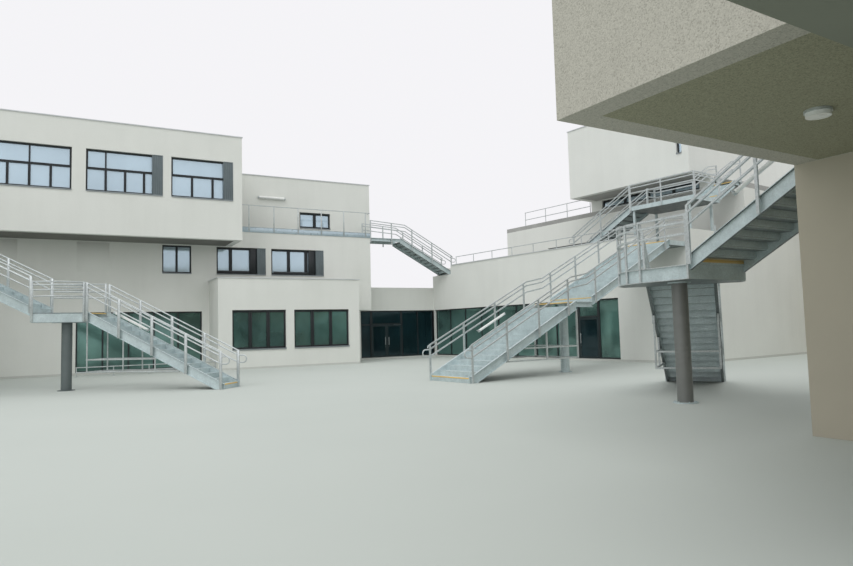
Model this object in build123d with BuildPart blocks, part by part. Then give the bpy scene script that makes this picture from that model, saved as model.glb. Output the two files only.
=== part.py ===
"""School building round a courtyard, as a half-size model.

Four wings stand round a paved courtyard. The left wing and the link face the courtyard's far side,
the right wing is turned by a few degrees, and the front wing with its overhanging upper storey is
nearest. Outside stairs of galvanised steel climb from the courtyard to the roof terraces.

The origin is on the ground in the middle of the entrance doorway. +X runs along the left wing's
front to the right, +Y away from the courtyard and +Z up.
"""
import os
from math import acos, asin, atan2, cos, degrees, radians, sin, tan

from build123d import *

os.makedirs("parts", exist_ok=True)

# One real metre, in millimetres of the half-size model
M = 500.0

# Shell of the building
WALL = 0.35 * M
FLOOR_PLATE = 0.30 * M
ROOF_PLATE = 0.25 * M
ROOF_DEPTH = 0.50 * M
SOFFIT_PLATE = 0.15 * M
GROUND_PLATE = 0.10 * M
COPING_HEIGHT = 0.04 * M
COPING_OVERHANG = 0.04 * M
FRAME_DEPTH = 0.10 * M
FRAME_WIDTH = 0.07 * M
GLASS = 0.03 * M
REVEAL = 0.12 * M
FIT = 0.6

# Levels above the courtyard
GLAZING_HEAD = 3.00 * M
FIRST_FLOOR = 4.05 * M
BLOCK_TOP = 4.57 * M
FIRST_SILL = 4.97 * M
FIRST_HEAD = 6.43 * M
BOX_SOFFIT = 6.48 * M
SECOND_FLOOR = 7.25 * M
LEFT_TERRACE_TOP = 7.33 * M
UPPER_SILL = 8.47 * M
UPPER_HEAD = 10.43 * M
BOX_TOP = 11.76 * M
SET_BACK_TOP = 10.87 * M
LINK_TOP = 4.45 * M

# Left wing, across the courtyard
LEFT_END = -29.20 * M
LEFT_BACK = 8.30 * M
FIRST_FACE = -1.75 * M
FRONT_FACE = -4.15 * M
SET_BACK_FACE = -0.15 * M
BOX_RIGHT = -9.87 * M
BLOCK_LEFT = -11.07 * M
BLOCK_RIGHT = -3.57 * M
WING_RIGHT = -1.78 * M
SET_BACK_RIGHT = -1.08 * M
CURTAIN_LEFT = -17.22 * M
CURTAIN_RIGHT = -11.42 * M
BAY = 3.85 * M
UPPER_WINDOW_LEFT = -16.91 * M
UPPER_WINDOW_WIDTH = 3.28 * M
LAST_WINDOW_LEFT = -13.25 * M
LAST_WINDOW_WIDTH = 2.93 * M
SHUTTER_WIDTH = 0.47 * M
SHUTTER_DEPTH = 0.10 * M
EXTRA_BAYS = 3
UPPER_BAR = 9.55 * M
BLOCK_SILL = 0.97 * M
BLOCK_HEAD = 2.96 * M
SET_BACK_SILL = 7.95 * M
SET_BACK_HEAD = 8.90 * M
SMALL_WINDOW_LEFT = -13.37 * M
SMALL_WINDOW_WIDTH = 1.42 * M
MIDDLE_WINDOW_LEFT = -10.68 * M
MIDDLE_WINDOW_WIDTH = 2.62 * M
MIDDLE_UPRIGHT = 0.75 * M
LONG_WINDOW_LEFT = -7.75 * M
LONG_WINDOW_WIDTH = 3.03 * M
BLOCK_WINDOWS = [(-10.39 * M, 2.73 * M), (-7.23 * M, 3.05 * M)]
TERRACE_WINDOW_LEFT = -5.60 * M
TERRACE_WINDOW_WIDTH = 1.92 * M
BACK_WINDOW_WIDTH = 4.60 * M
BACK_BAY = 7.00 * M

# Link with the entrance
DOOR_FACE = -0.15 * M
DOOR_WALL = 0.30 * M
ENTRANCE_LEFT = -1.80 * M
LINK_RIGHT = 6.00 * M
DOOR_LEFT = -1.04 * M
DOOR_RIGHT = 1.04 * M
DOOR_HEIGHT = 2.03 * M
DOOR_STILE = 0.10 * M
DOOR_LEAF_THICKNESS = 0.06 * M
DOOR_CLEARANCE = 6.0
PIVOT_RADIUS = 8.0

# Right wing, with its own axes: x into the wing, y along its front towards the link
RIGHT_CORNER_X = 3.36 * M
RIGHT_TURN = 7.2
RIGHT_FRONT_LENGTH = 18.50 * M
RIGHT_DEPTH = 19.50 * M
RIGHT_GLAZING_NEAR = 3.90 * M
RIGHT_DOOR_NEAR = 5.20 * M
RIGHT_DOOR_FAR = 6.45 * M
RIGHT_GLAZING_LIGHTS = 8
RIGHT_CORNER_POST = 0.10 * M
LINK_OPENING_RIGHT = 2.20 * M
RIGHT_UPPER_SILL = 6.10 * M
RIGHT_UPPER_HEAD = 7.60 * M
MAIN_STAIR_NEAR = 0.30 * M
MAIN_STAIR_FAR = 2.35 * M
BRIDGE_GAP_NEAR = 16.60 * M
TERRACE_FLOOR = 5.20 * M
TERRACE_TOP = 5.75 * M
UPPER_FACE_RIGHT = 4.60 * M
UPPER_LEFT_END = 16.20 * M
LOW_ROOF_TOP = 8.30 * M
CANTILEVER_FACE = 2.80 * M
CANTILEVER_FAR = 9.00 * M
CANTILEVER_NEAR = 1.60 * M
CANTILEVER_REAR = 14.00 * M
CANTILEVER_FOOT = 8.90 * M
CANTILEVER_WINDOW_LEFT = 6.76 * M
CANTILEVER_SILL = 9.90 * M
CANTILEVER_HEAD = 11.90 * M
RIGHT_TOP = 12.75 * M

# Front wing, nearest: x along its courtyard end to the right, y towards the courtyard
FRONT_ORIGIN_X = -7.87 * M
FRONT_ORIGIN_Y = -31.35 * M
FRONT_TURN = 2.0
FRONT_DEPTH = 9.00 * M
FRONT_LENGTH = 32.00 * M
FRONT_OVERHANG = 4.75 * M
FRONT_SOFFIT = 4.05 * M
FRONT_FLOOR = 4.50 * M
FRONT_TOP = 8.20 * M
EAST_INNER = 24.30 * M
PORCH_FOOT = 3.60 * M
PORCH_PLATE = 0.45 * M
PORCH_LEFT = -7.10 * M
PORCH_FAR = -3.20 * M
PORCH_NEAR = -9.00 * M
FRONT_FIRST_WINDOW = 9.50 * M
UP_FLIGHT_LEFT = 1.54 * M
UP_FLIGHT_RIGHT = 3.40 * M
UPPER_DOOR_HEAD = 6.60 * M

# West block, past the photographed edge, that the left stair climbs to
WEST_RIGHT = -23.40 * M
WEST_NEAR = -14.50 * M
WEST_GAP_NEAR = -9.50 * M
WEST_GAP_FAR = -7.20 * M

# Steel stairs
MAIN_STAIR_FOOT = -12.15 * M
LEFT_STAIR_X = -13.07 * M
LEFT_STAIR_Y = -15.15 * M
LEFT_STAIR_ANGLE = 146.3
MAIN_COLUMN = (5.50 * M, 0)
LEFT_COLUMN = (5.50 * M, 0)
STRINGER_RISE = 0.05 * M
STRINGER_TOE = 0.06 * M
LANDING_DEPTH = 0.20 * M
POST_FOOT = 0.27 * M
POST_PITCH = 1.60 * M
RAIL_HEIGHTS = (1.05 * M, 0.90 * M, 0.66 * M)
TERRACE_RAIL = 0.95 * M
PARAPET_RAIL = 0.50 * M
GUARD_LINE = -3.60 * M
GUARD_HEIGHT = 0.45 * M
RAIL_JOINT = 0.1
GUARD_BARS = (1.03 * M, 0.62 * M)
GUARD_FROM_LANDING = 1.08 * M
STRIP_LEFT = 8.10 * M
STRIP_RIGHT = 12.55 * M
STRIP_SILL = 6.10 * M
STRIP_HEAD = 6.60 * M
HIGH_STRIP_LEFT = 2.20 * M
HIGH_STRIP_RIGHT = 8.25 * M
HIGH_STRIP_SILL = 8.36 * M
HIGH_STRIP_HEAD = 8.84 * M
BRIDGE_FOOT_X = 3.85 * M
BRIDGE_WIDTH = 1.06 * M
BRIDGE_RISERS = 13
SMALL_GOING = 0.30 * M
ROOF_STAIR_LEFT = 0.70 * M
ROOF_STAIR_RIGHT = 1.90 * M
ROOF_STAIR_FOOT = 7.00 * M
PLATFORM_TOP = 7.30 * M
PLATFORM_RIGHT = 2.60 * M
PLATFORM_NEAR = 0.10 * M
PLATFORM_POST = 0.10 * M
LAST_FLIGHT_WIDTH = 1.00 * M
LAST_RISERS = 6
ROUND_X = 2.84 * M
ROUND_Y = 4.37 * M
ROUND_RADIUS = 1.30 * M
ROUND_TOP = 2.90 * M
ROUND_DEPTH = 0.30 * M
ROUND_COLUMN = (2.18 * M, 3.87 * M)
UP_FLIGHT_FOOT = 3.10 * M
UP_RISERS = 10
ROUND_GOING = 0.28 * M
DOWN_START = 0.35 * M
DOWN_ANGLE = 36.6
DOWN_RISERS = 17
DOWN_WIDTH = 1.42 * M
RISER = 0.1625 * M
GOING = 0.337 * M
STEPS = 16
STAIR_WIDTH = 2.05 * M
STRINGER = 0.07 * M
STRINGER_WEB = 0.015 * M
STRINGER_FLANGE = 0.015 * M
STRINGER_DEPTH = 0.33 * M
TREAD_PLATE = 0.03 * M
LANDING_LENGTH = 0.87 * M
RAIL = 0.045 * M
POST = 0.06 * M
COLUMN = 0.33 * M
STEEL_GAP = 0.3

site = Plane.XY
right_wing = Plane(
    origin=(
        RIGHT_CORNER_X + RIGHT_FRONT_LENGTH * sin(radians(RIGHT_TURN)),
        DOOR_FACE - RIGHT_FRONT_LENGTH * cos(radians(RIGHT_TURN)),
        0,
    ),
    x_dir=(cos(radians(RIGHT_TURN)), sin(radians(RIGHT_TURN)), 0),
    z_dir=(0, 0, 1),
)
front_wing = Plane(
    origin=(FRONT_ORIGIN_X, FRONT_ORIGIN_Y, 0),
    x_dir=(cos(radians(FRONT_TURN)), sin(radians(FRONT_TURN)), 0),
    z_dir=(0, 0, 1),
)


def finish(piece, name):
    """Names a finished piece and writes its file."""
    piece.part.label = name
    export_step(piece.part, f"parts/{name}.step")


def world(frame, x, y, z=0.0):
    """A point of one wing's own frame, in the site's frame."""
    return frame.from_local_coords(Vector(x, y, z))


def reach(frame, x, other, y_other=0.0):
    """How far along y the line of constant x of one frame meets a line of constant y of another."""
    first = other.to_local_coords(world(frame, x, 0))
    last = other.to_local_coords(world(frame, x, M))
    return (y_other - first.Y) / (last.Y - first.Y) * M


def face(frame, start, end, foot):
    """The outer face of a wall from start to end, seen from outside left to right."""
    first, last = world(frame, *start, foot), world(frame, *end, foot)
    run = last - first
    return Plane(origin=first, x_dir=run, z_dir=run.cross(Vector(0, 0, 1))), run.length


def add_wall(frame, start, end, foot, top, holes=(), thickness=WALL):
    """A wall with holes given as (left, right, sill, head), from start and from the ground."""
    plane, length = face(frame, start, end, foot)
    with BuildSketch(plane) as outline:
        with Locations((length / 2, (top - foot) / 2)):
            Rectangle(length, top - foot)
        for left, right, sill, head in holes:
            with Locations(((left + right) / 2, (sill + head) / 2 - foot)):
                Rectangle(right - left, head - sill, mode=Mode.SUBTRACT)
    extrude(outline.sketch, amount=-thickness)


def add_slab(frame, outline, foot, thickness):
    """A flat plate with its outline given as points of a wing's frame."""
    with BuildSketch(frame.offset(foot)) as plate:
        Polygon(*outline, align=None)
    extrude(plate.sketch, amount=thickness)


def rectangle(left, right, near, far):
    return [(left, near), (right, near), (right, far), (left, far)]


def row_of_lights(left, right, low, high, uprights):
    """The clear lights between the uprights of one row."""
    edges = [left - FRAME_WIDTH / 2, *uprights, right + FRAME_WIDTH / 2]
    lights = []
    for first, last in zip(edges, edges[1:]):
        lights.append((first + FRAME_WIDTH / 2, last - FRAME_WIDTH / 2, low, high))
    return lights


def panes(hole, uprights, bar=None, upper_uprights=()):
    """The clear lights of a window: one row, or one row under its bar and one over it."""
    left, right, sill, head = hole
    left, right = left + FRAME_WIDTH, right - FRAME_WIDTH
    low, high = sill + FRAME_WIDTH, head - FRAME_WIDTH
    if bar is None:
        return row_of_lights(left, right, low, high, uprights)
    lower = row_of_lights(left, right, low, bar - FRAME_WIDTH / 2, uprights)
    return lower + row_of_lights(left, right, bar + FRAME_WIDTH / 2, high, upper_uprights)


def draw_box(left, right, low, high, mode=Mode.ADD):
    """A rectangle of a sketch, by its edges."""
    with Locations(((left + right) / 2, (low + high) / 2)):
        Rectangle(right - left, high - low, mode=mode)


def add_pivot(frame, start, end, across):
    """The bearing under a door leaf's outer corner, on the threshold."""
    plane, _ = face(frame, start, end, 0)
    foot = GROUND_PLATE + STEEL_GAP
    centre = plane.from_local_coords(Vector(across, 0, -REVEAL))
    with BuildSketch(Plane(origin=(centre.X, centre.Y, foot))) as bearing:
        Circle(PIVOT_RADIUS)
    extrude(bearing.sketch, amount=DOOR_CLEARANCE - 2 * STEEL_GAP)


def even(left, right, count):
    """Uprights that split a width into equal lights."""
    return [left + (right - left) * index / count for index in range(1, count)]


class Window:
    """A window in a wall: its hole and its lights, measured along the wall from its start."""

    def __init__(self, frame, start, end, hole, uprights, bar=None, upper_uprights=()):
        self.frame = frame
        self.start = start
        self.end = end
        self.hole = hole
        self.lights = panes(hole, uprights, bar, upper_uprights)


def window_row(frame, start, end, lefts, width, sill, head, lights=1):
    """Like windows of one storey, each split into equal lights."""
    row = []
    for left in lefts:
        hole = (left, left + width, sill, head)
        row.append(Window(frame, start, end, hole, even(left, left + width, lights)))
    return row


def by_wall(windows):
    """Windows in groups, one for each wall that they are cut through."""
    walls = {}
    for window in windows:
        walls.setdefault((window.start, window.end), []).append(window)
    return walls.values()


def add_frames(windows):
    """The frames of windows, set back in their holes."""
    for row in by_wall(windows):
        plane, _ = face(row[0].frame, row[0].start, row[0].end, 0)
        with BuildSketch(plane.offset(-REVEAL)) as bars:
            for window in row:
                draw_box(*window.hole)
                for light in window.lights:
                    draw_box(*light, mode=Mode.SUBTRACT)
        extrude(bars.sketch, amount=-FRAME_DEPTH)


def add_glass(windows):
    """One pane in each light, in the middle of the frame's depth."""
    for row in by_wall(windows):
        plane, _ = face(row[0].frame, row[0].start, row[0].end, 0)
        with BuildSketch(plane.offset(-REVEAL - (FRAME_DEPTH - GLASS) / 2)) as sheets:
            for window in row:
                for light in window.lights:
                    draw_box(*light)
        extrude(sheets.sketch, amount=-GLASS)


def holes(windows):
    return [window.hole for window in windows]


def bays(length, width, pitch):
    """Where windows of a width start when they fill a wall at a pitch, with equal ends."""
    count = int((length - pitch) // pitch) + 1
    margin = (length - (count - 1) * pitch - width) / 2
    return [margin + index * pitch for index in range(count)]


# Steel stairs. A flight is drawn in the side view of its stair: x along the run, y up.
class Flight:
    """One flight: where its first riser stands, how many risers it has, their rise and going."""

    def __init__(self, x, z, risers, riser, going):
        self.x, self.z = x, z
        self.risers, self.riser, self.going = risers, riser, going
        self.end_x = x + (risers - 1) * going
        self.end_z = z + risers * riser

    def nosing(self, x):
        """Height of the line through the nosings."""
        return self.z + self.riser + (x - self.x) * self.riser / self.going


def stair_plane(x, y, z, angle):
    """The foot of a stair, turned so that x runs up it."""
    turn = radians(angle)
    return Plane(origin=(x, y, z), x_dir=(cos(turn), sin(turn), 0), z_dir=(0, 0, 1))


def side_view(stair, across=0.0):
    """The vertical plane along a stair, a distance to its left."""
    origin = stair.from_local_coords(Vector(0, across, 0))
    return Plane(origin=origin, x_dir=stair.x_dir, z_dir=-stair.y_dir)


def add_treads(stair, flight, width):
    """Closed steps of folded plate, clear of the stringers and of each other."""
    clear = width - 2 * STEEL_GAP
    with BuildSketch(side_view(stair)) as steps:
        for index in range(flight.risers - 1):
            left = flight.x + index * flight.going + STEEL_GAP
            right = left + flight.going - STEEL_GAP
            foot = flight.z + index * flight.riser + STEEL_GAP
            top = flight.z + (index + 1) * flight.riser
            Polygon(
                (left, foot),
                (left + TREAD_PLATE, foot),
                (left + TREAD_PLATE, top - TREAD_PLATE),
                (right, top - TREAD_PLATE),
                (right, top),
                (left, top),
                align=None,
            )
    extrude(steps.sketch, amount=clear / 2, both=True)


def add_stringers(stair, flight, width, on_ground):
    """The channel on each side of a flight, cut level on the ground or plumb at a landing."""
    start, end = flight.x, flight.end_x - STEEL_GAP
    high, low = STRINGER_RISE, STRINGER_DEPTH - STRINGER_RISE
    if on_ground:
        level = flight.x + (low - flight.riser) * flight.going / flight.riser
        lower_left = (level, flight.z)
        toe = [(start - STRINGER_TOE, flight.nosing(start) + high), (start - STRINGER_TOE, flight.z)]
    else:
        start += STEEL_GAP
        lower_left = (start, flight.nosing(start) - low)
        toe = []
    lower_right = (end, flight.nosing(end) - low)
    upper_right = (end, flight.nosing(end) + high)
    upper_left = (start, flight.nosing(start) + high)
    flanges = ((lower_left, lower_right, STRINGER_FLANGE), (upper_left, upper_right, -STRINGER_FLANGE))
    for outer, web in ((-width / 2 - STRINGER, -width / 2 - STRINGER_WEB), (width / 2, width / 2)):
        with BuildSketch(side_view(stair, web)) as plate:
            Polygon(lower_left, lower_right, upper_right, upper_left, *toe, align=None)
        extrude(plate.sketch, amount=-STRINGER_WEB)
        with BuildSketch(side_view(stair, outer)) as edges:
            for (left, left_z), (right, right_z), depth in flanges:
                Polygon(
                    (left, left_z),
                    (right, right_z),
                    (right, right_z + depth),
                    (left, left_z + depth),
                    align=None,
                )
        extrude(edges.sketch, amount=-STRINGER)


def add_landing(stair, start, end, top, width):
    """A landing of plate between two channels."""
    half = width / 2
    with BuildSketch(Plane(origin=stair.origin, x_dir=stair.y_dir, z_dir=stair.x_dir)) as section:
        draw_box(-half - STRINGER, half + STRINGER, top - TREAD_PLATE, top)
        for inner, outer in ((half, half + STRINGER), (-half - STRINGER, -half)):
            web = half if inner > 0 else -half - STRINGER_WEB
            draw_box(web, web + STRINGER_WEB, top - LANDING_DEPTH, top)
            draw_box(inner, outer, top - LANDING_DEPTH, top - LANDING_DEPTH + STRINGER_FLANGE)
    lifted = section.sketch.moved(Location(stair.x_dir * (start + STEEL_GAP)))
    extrude(lifted, amount=end - start - 2 * STEEL_GAP)


def add_column(x, y, top):
    with BuildSketch(site) as foot:
        with Locations((x, y)):
            Circle(COLUMN / 2)
    extrude(foot.sketch, amount=top)


def add_rails(stair, across, route, heights, posts, foot_of):
    """Posts and rails in one upright plane; the route is the line that the rails follow."""
    with BuildSketch(side_view(stair, across)) as panel:
        for height in heights:
            upper = [(x, z + height) for x, z in route]
            lower = [(x, z - RAIL) for x, z in reversed(upper)]
            Polygon(*upper, *lower, align=None)
        for x in posts:
            foot, top = foot_of(x), height_at(route, x) + heights[0] - RAIL / 2
            with Locations((x, (foot + top) / 2)):
                Rectangle(POST, top - foot)
    extrude(panel.sketch, amount=RAIL / 2, both=True)


def add_guard(stair, flight, width, x):
    """The low barrier that hangs under a flight, from x down to where its bars meet the stringers."""
    low = STRINGER_DEPTH - STRINGER_RISE
    slope = flight.riser / flight.going
    line = width / 2 + STRINGER / 2

    def under(run):
        return flight.nosing(run) - low - STEEL_GAP

    foot = GUARD_BARS[-1] - RAIL
    for side in (-1, 1):
        with BuildSketch(side_view(stair, side * line)) as panel:
            for bar in GUARD_BARS:
                start = flight.x + (bar + low + STEEL_GAP - flight.z - flight.riser) / slope
                draw_box(start, x, bar - RAIL, bar)
            shorter = (x + flight.x + (foot + low) / slope) / 2
            for post in (x - POST, shorter):
                draw_box(post, post + POST, foot, under(post))
        extrude(panel.sketch, amount=RAIL / 2, both=True)
    middle = stair.from_local_coords(Vector(x - POST / 2, 0, 0))
    half_width = line - RAIL / 2 - STEEL_GAP
    with BuildSketch(Plane(origin=middle, x_dir=stair.y_dir, z_dir=stair.x_dir)) as bars:
        for bar in GUARD_BARS:
            draw_box(-half_width, half_width, bar - RAIL, bar)
    extrude(bars.sketch, amount=RAIL / 2, both=True)


def add_edge_rail(frame, start, end, top):
    """The railing of a landing's edge, its posts on the outside of the plate."""
    add_fence(
        frame,
        start,
        end,
        top - LANDING_DEPTH,
        LANDING_DEPTH + RAIL_HEIGHTS[0],
        [LANDING_DEPTH + height for height in RAIL_HEIGHTS],
        POST_PITCH,
    )


def add_fence(frame, start, end, foot, top, bars, pitch):
    """A flat railing of posts and bars, from start to end."""
    plane, length = face(frame, start, end, foot)
    count = max(2, round(length / pitch) + 1)
    with BuildSketch(plane) as panel:
        for bar in bars:
            with Locations((length / 2, bar - RAIL / 2)):
                Rectangle(length, RAIL)
        with Locations((length / 2, (top - RAIL / 2) / 2)):
            with GridLocations((length - RAIL) / (count - 1), 0, count, 1):
                Rectangle(RAIL, top - RAIL / 2)
    extrude(panel.sketch, amount=RAIL / 2, both=True)


def add_coping(frame, points, top, closed=True):
    """A thin cover on the walls along points, their middle line."""
    ends = [*points, points[0]] if closed else points
    width = WALL + 2 * COPING_OVERHANG
    with BuildSketch(frame.offset(top)) as cover:
        for (x, y), (next_x, next_y) in zip(ends, ends[1:]):
            run = Vector(next_x - x, next_y - y, 0)
            with Locations(Location(((x + next_x) / 2, (y + next_y) / 2), heading(run))):
                Rectangle(run.length + width, width)
    extrude(cover.sketch, amount=COPING_HEIGHT)


def heading(run):
    return degrees(atan2(run.Y, run.X))


def height_at(route, x):
    """Height of a route of straight runs at x."""
    for (left, low), (right, high) in zip(route, route[1:]):
        if left <= x <= right:
            return low + (high - low) * (x - left) / (right - left)
    return route[-1][1]


def rail_route(flights, last_x):
    """The line over the nosings and landings of flights that follow each other."""
    route = []
    for flight in flights:
        first_x = flight.x if flight is flights[0] else flight.x - flight.going
        route.append((first_x, flight.nosing(first_x)))
        route.append((flight.end_x - flight.going, flight.nosing(flight.end_x - flight.going)))
    route.append((last_x, flights[-1].end_z))
    return route


def add_stair_rails(stair, flights, width, last_x):
    """A rail on each side, with posts fixed to the outside of the stringers."""
    route = rail_route(flights, last_x)

    def foot_of(x):
        return max(height_at(route, x) - POST_FOOT, STEEL_GAP)

    first_x = route[0][0]
    count = max(2, round((last_x - first_x) / POST_PITCH) + 1)
    step = (last_x - first_x - POST) / (count - 1)
    posts = [first_x + POST / 2 + step * index for index in range(count)]
    for side in (-1, 1):
        across = side * (width / 2 + STRINGER + RAIL / 2)
        add_rails(stair, across, route, RAIL_HEIGHTS, posts, foot_of)


# Left wing: the front wall of its two lower storeys, with the curtain glazing cut through it
low_start, low_end = (LEFT_END, FIRST_FACE), (BLOCK_LEFT + WALL, FIRST_FACE)
curtain = Window(
    site,
    low_start,
    low_end,
    (CURTAIN_LEFT - LEFT_END, CURTAIN_RIGHT - LEFT_END, GROUND_PLATE, GLAZING_HEAD),
    even(CURTAIN_LEFT - LEFT_END, CURTAIN_RIGHT - LEFT_END, 5),
)
small_lefts = [SMALL_WINDOW_LEFT - LEFT_END - BAY * index for index in range(3)]
small_windows = window_row(
    site, low_start, low_end, small_lefts, SMALL_WINDOW_WIDTH, FIRST_SILL, FIRST_HEAD, 2
)
with BuildPart() as left_front_lower_wall:
    add_wall(
        site,
        low_start,
        low_end,
        GROUND_PLATE,
        SECOND_FLOOR - FLOOR_PLATE,
        [
            (0, WALL, BOX_SOFFIT, SECOND_FLOOR - FLOOR_PLATE),
            *holes([curtain, *small_windows]),
        ],
    )
finish(left_front_lower_wall, "left_front_lower_wall")

# The first floor's wall over the block, which reaches down over the entrance's recess
over_start, over_end = (BLOCK_LEFT + WALL, FIRST_FACE), (WING_RIGHT, FIRST_FACE)
middle_left = MIDDLE_WINDOW_LEFT - over_start[0]
middle_window = Window(
    site,
    over_start,
    over_end,
    (middle_left, middle_left + MIDDLE_WINDOW_WIDTH, FIRST_SILL, FIRST_HEAD),
    [middle_left + MIDDLE_UPRIGHT],
)
long_left = LONG_WINDOW_LEFT - over_start[0]
long_window = Window(
    site,
    over_start,
    over_end,
    (long_left, long_left + LONG_WINDOW_WIDTH, FIRST_SILL, FIRST_HEAD),
    even(long_left, long_left + LONG_WINDOW_WIDTH, 3),
)
with BuildPart() as left_front_middle_wall:
    add_wall(site, (BLOCK_RIGHT, FIRST_FACE), over_end, GLAZING_HEAD, FIRST_FLOOR - STEEL_GAP)
    add_wall(
        site,
        over_start,
        over_end,
        FIRST_FLOOR,
        LEFT_TERRACE_TOP,
        [
            (0, BOX_RIGHT - WALL - over_start[0], SECOND_FLOOR - FLOOR_PLATE, LEFT_TERRACE_TOP),
            (
                BOX_RIGHT - WALL - over_start[0],
                BOX_RIGHT - over_start[0],
                BOX_SOFFIT,
                LEFT_TERRACE_TOP,
            ),
            *holes([middle_window, long_window]),
        ],
    )
finish(left_front_middle_wall, "left_front_middle_wall")

# Ground floor block in front of the left wing
block_start, block_end = (BLOCK_LEFT, FRONT_FACE), (BLOCK_RIGHT, FRONT_FACE)
block_windows = []
for left, width in BLOCK_WINDOWS:
    hole = (left - BLOCK_LEFT, left - BLOCK_LEFT + width, BLOCK_SILL, BLOCK_HEAD)
    block_windows.append(Window(site, block_start, block_end, hole, even(hole[0], hole[1], 3)))
with BuildPart() as left_block_front_wall:
    add_wall(site, block_start, block_end, GROUND_PLATE, BLOCK_TOP, holes(block_windows))
finish(left_block_front_wall, "left_block_front_wall")

with BuildPart() as left_block_side_walls:
    inner_front = FRONT_FACE + WALL
    add_wall(site, (BLOCK_LEFT, FIRST_FACE), (BLOCK_LEFT, inner_front), GROUND_PLATE, BLOCK_TOP)
    add_wall(
        site,
        (BLOCK_RIGHT, inner_front),
        (BLOCK_RIGHT, DOOR_FACE),
        GROUND_PLATE,
        BLOCK_TOP,
        [
            (FIRST_FACE - inner_front, FIRST_FACE + WALL - inner_front, FIRST_FLOOR, BLOCK_TOP),
            (
                FIRST_FACE + WALL - inner_front,
                DOOR_FACE - inner_front,
                FIRST_FLOOR - FLOOR_PLATE,
                BLOCK_TOP,
            ),
        ],
    )
finish(left_block_side_walls, "left_block_side_walls")

# Overhanging second floor box of the left wing
box_start, box_end = (LEFT_END, FRONT_FACE), (BOX_RIGHT, FRONT_FACE)
box_windows = []
for index in range(EXTRA_BAYS + 1):
    left = UPPER_WINDOW_LEFT - BAY * index - LEFT_END
    right = left + UPPER_WINDOW_WIDTH
    box_windows.append(
        Window(
            site,
            box_start,
            box_end,
            (left, right, UPPER_SILL, UPPER_HEAD),
            even(left, right, 4),
            UPPER_BAR,
            [left + UPPER_WINDOW_WIDTH / 4 if index % 2 == 0 else left + UPPER_WINDOW_WIDTH / 2],
        )
    )
left = LAST_WINDOW_LEFT - LEFT_END
right = left + LAST_WINDOW_WIDTH
box_windows.append(
    Window(
        site, box_start, box_end, (left, right, UPPER_SILL, UPPER_HEAD), even(left, right, 3), UPPER_BAR
    )
)
with BuildPart() as left_box_front_wall:
    add_wall(site, box_start, box_end, BOX_SOFFIT, BOX_TOP, holes(box_windows))
finish(left_box_front_wall, "left_box_front_wall")

inner_back = LEFT_BACK - WALL
with BuildPart() as left_box_end_walls:
    inner_front = FRONT_FACE + WALL
    add_wall(
        site,
        (LEFT_END, inner_back),
        (LEFT_END, FIRST_FACE + WALL),
        GROUND_PLATE,
        BOX_SOFFIT - STEEL_GAP,
    )
    add_wall(site, (LEFT_END, inner_back), (LEFT_END, inner_front), BOX_SOFFIT, BOX_TOP)
    add_wall(
        site,
        (BOX_RIGHT, inner_front),
        (BOX_RIGHT, FIRST_FACE + WALL),
        BOX_SOFFIT,
        SECOND_FLOOR - FLOOR_PLATE - STEEL_GAP,
    )
    add_wall(
        site,
        (BOX_RIGHT, inner_front),
        (BOX_RIGHT, inner_back),
        SECOND_FLOOR - FLOOR_PLATE,
        BOX_TOP,
    )
finish(left_box_end_walls, "left_box_end_walls")

# Set back second floor beside the box, behind the roof terrace
set_back_start, set_back_end = (BOX_RIGHT, SET_BACK_FACE), (SET_BACK_RIGHT, SET_BACK_FACE)
terrace_left = TERRACE_WINDOW_LEFT - BOX_RIGHT
terrace_window = Window(
    site,
    set_back_start,
    set_back_end,
    (terrace_left, terrace_left + TERRACE_WINDOW_WIDTH, SET_BACK_SILL, SET_BACK_HEAD),
    even(terrace_left, terrace_left + TERRACE_WINDOW_WIDTH, 2),
)
with BuildPart() as left_set_back_wall:
    add_wall(site, set_back_start, set_back_end, SECOND_FLOOR, SET_BACK_TOP, holes([terrace_window]))
finish(left_set_back_wall, "left_set_back_wall")

# The wing's right end. The set back storey stands out past the storeys under it
end_start = FIRST_FACE + WALL
set_back_inner = SET_BACK_FACE + WALL
with BuildPart() as left_right_end_wall:
    for x, near, far, foot, top in (
        (WING_RIGHT, end_start, DOOR_FACE - STEEL_GAP, GLAZING_HEAD, FIRST_FLOOR - STEEL_GAP),
        (WING_RIGHT, end_start, inner_back, FIRST_FLOOR, SECOND_FLOOR - STEEL_GAP),
        (SET_BACK_RIGHT, set_back_inner, inner_back, SECOND_FLOOR, SET_BACK_TOP),
    ):
        add_wall(site, (x, near), (x, far), foot, top)
finish(left_right_end_wall, "left_right_end_wall")

# Back wall of the left wing, with a row of windows to each storey
back_start, back_end = (WING_RIGHT, LEFT_BACK), (LEFT_END, LEFT_BACK)
back_lefts = bays(WING_RIGHT - LEFT_END, BACK_WINDOW_WIDTH, BACK_BAY)
left_back_windows = []
for sill, head in ((BLOCK_SILL, BLOCK_HEAD), (FIRST_SILL, FIRST_HEAD), (UPPER_SILL, UPPER_HEAD)):
    left_back_windows += window_row(
        site, back_start, back_end, back_lefts, BACK_WINDOW_WIDTH, sill, head
    )
with BuildPart() as left_back_wall:
    add_wall(site, back_start, back_end, GROUND_PLATE, SET_BACK_TOP, holes(left_back_windows))
    add_wall(site, (BOX_RIGHT, LEFT_BACK), back_end, SET_BACK_TOP + STEEL_GAP, BOX_TOP)
    add_wall(
        site,
        (SET_BACK_RIGHT, LEFT_BACK),
        (WING_RIGHT + STEEL_GAP, LEFT_BACK),
        SECOND_FLOOR,
        SET_BACK_TOP,
    )
finish(left_back_wall, "left_back_wall")

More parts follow.
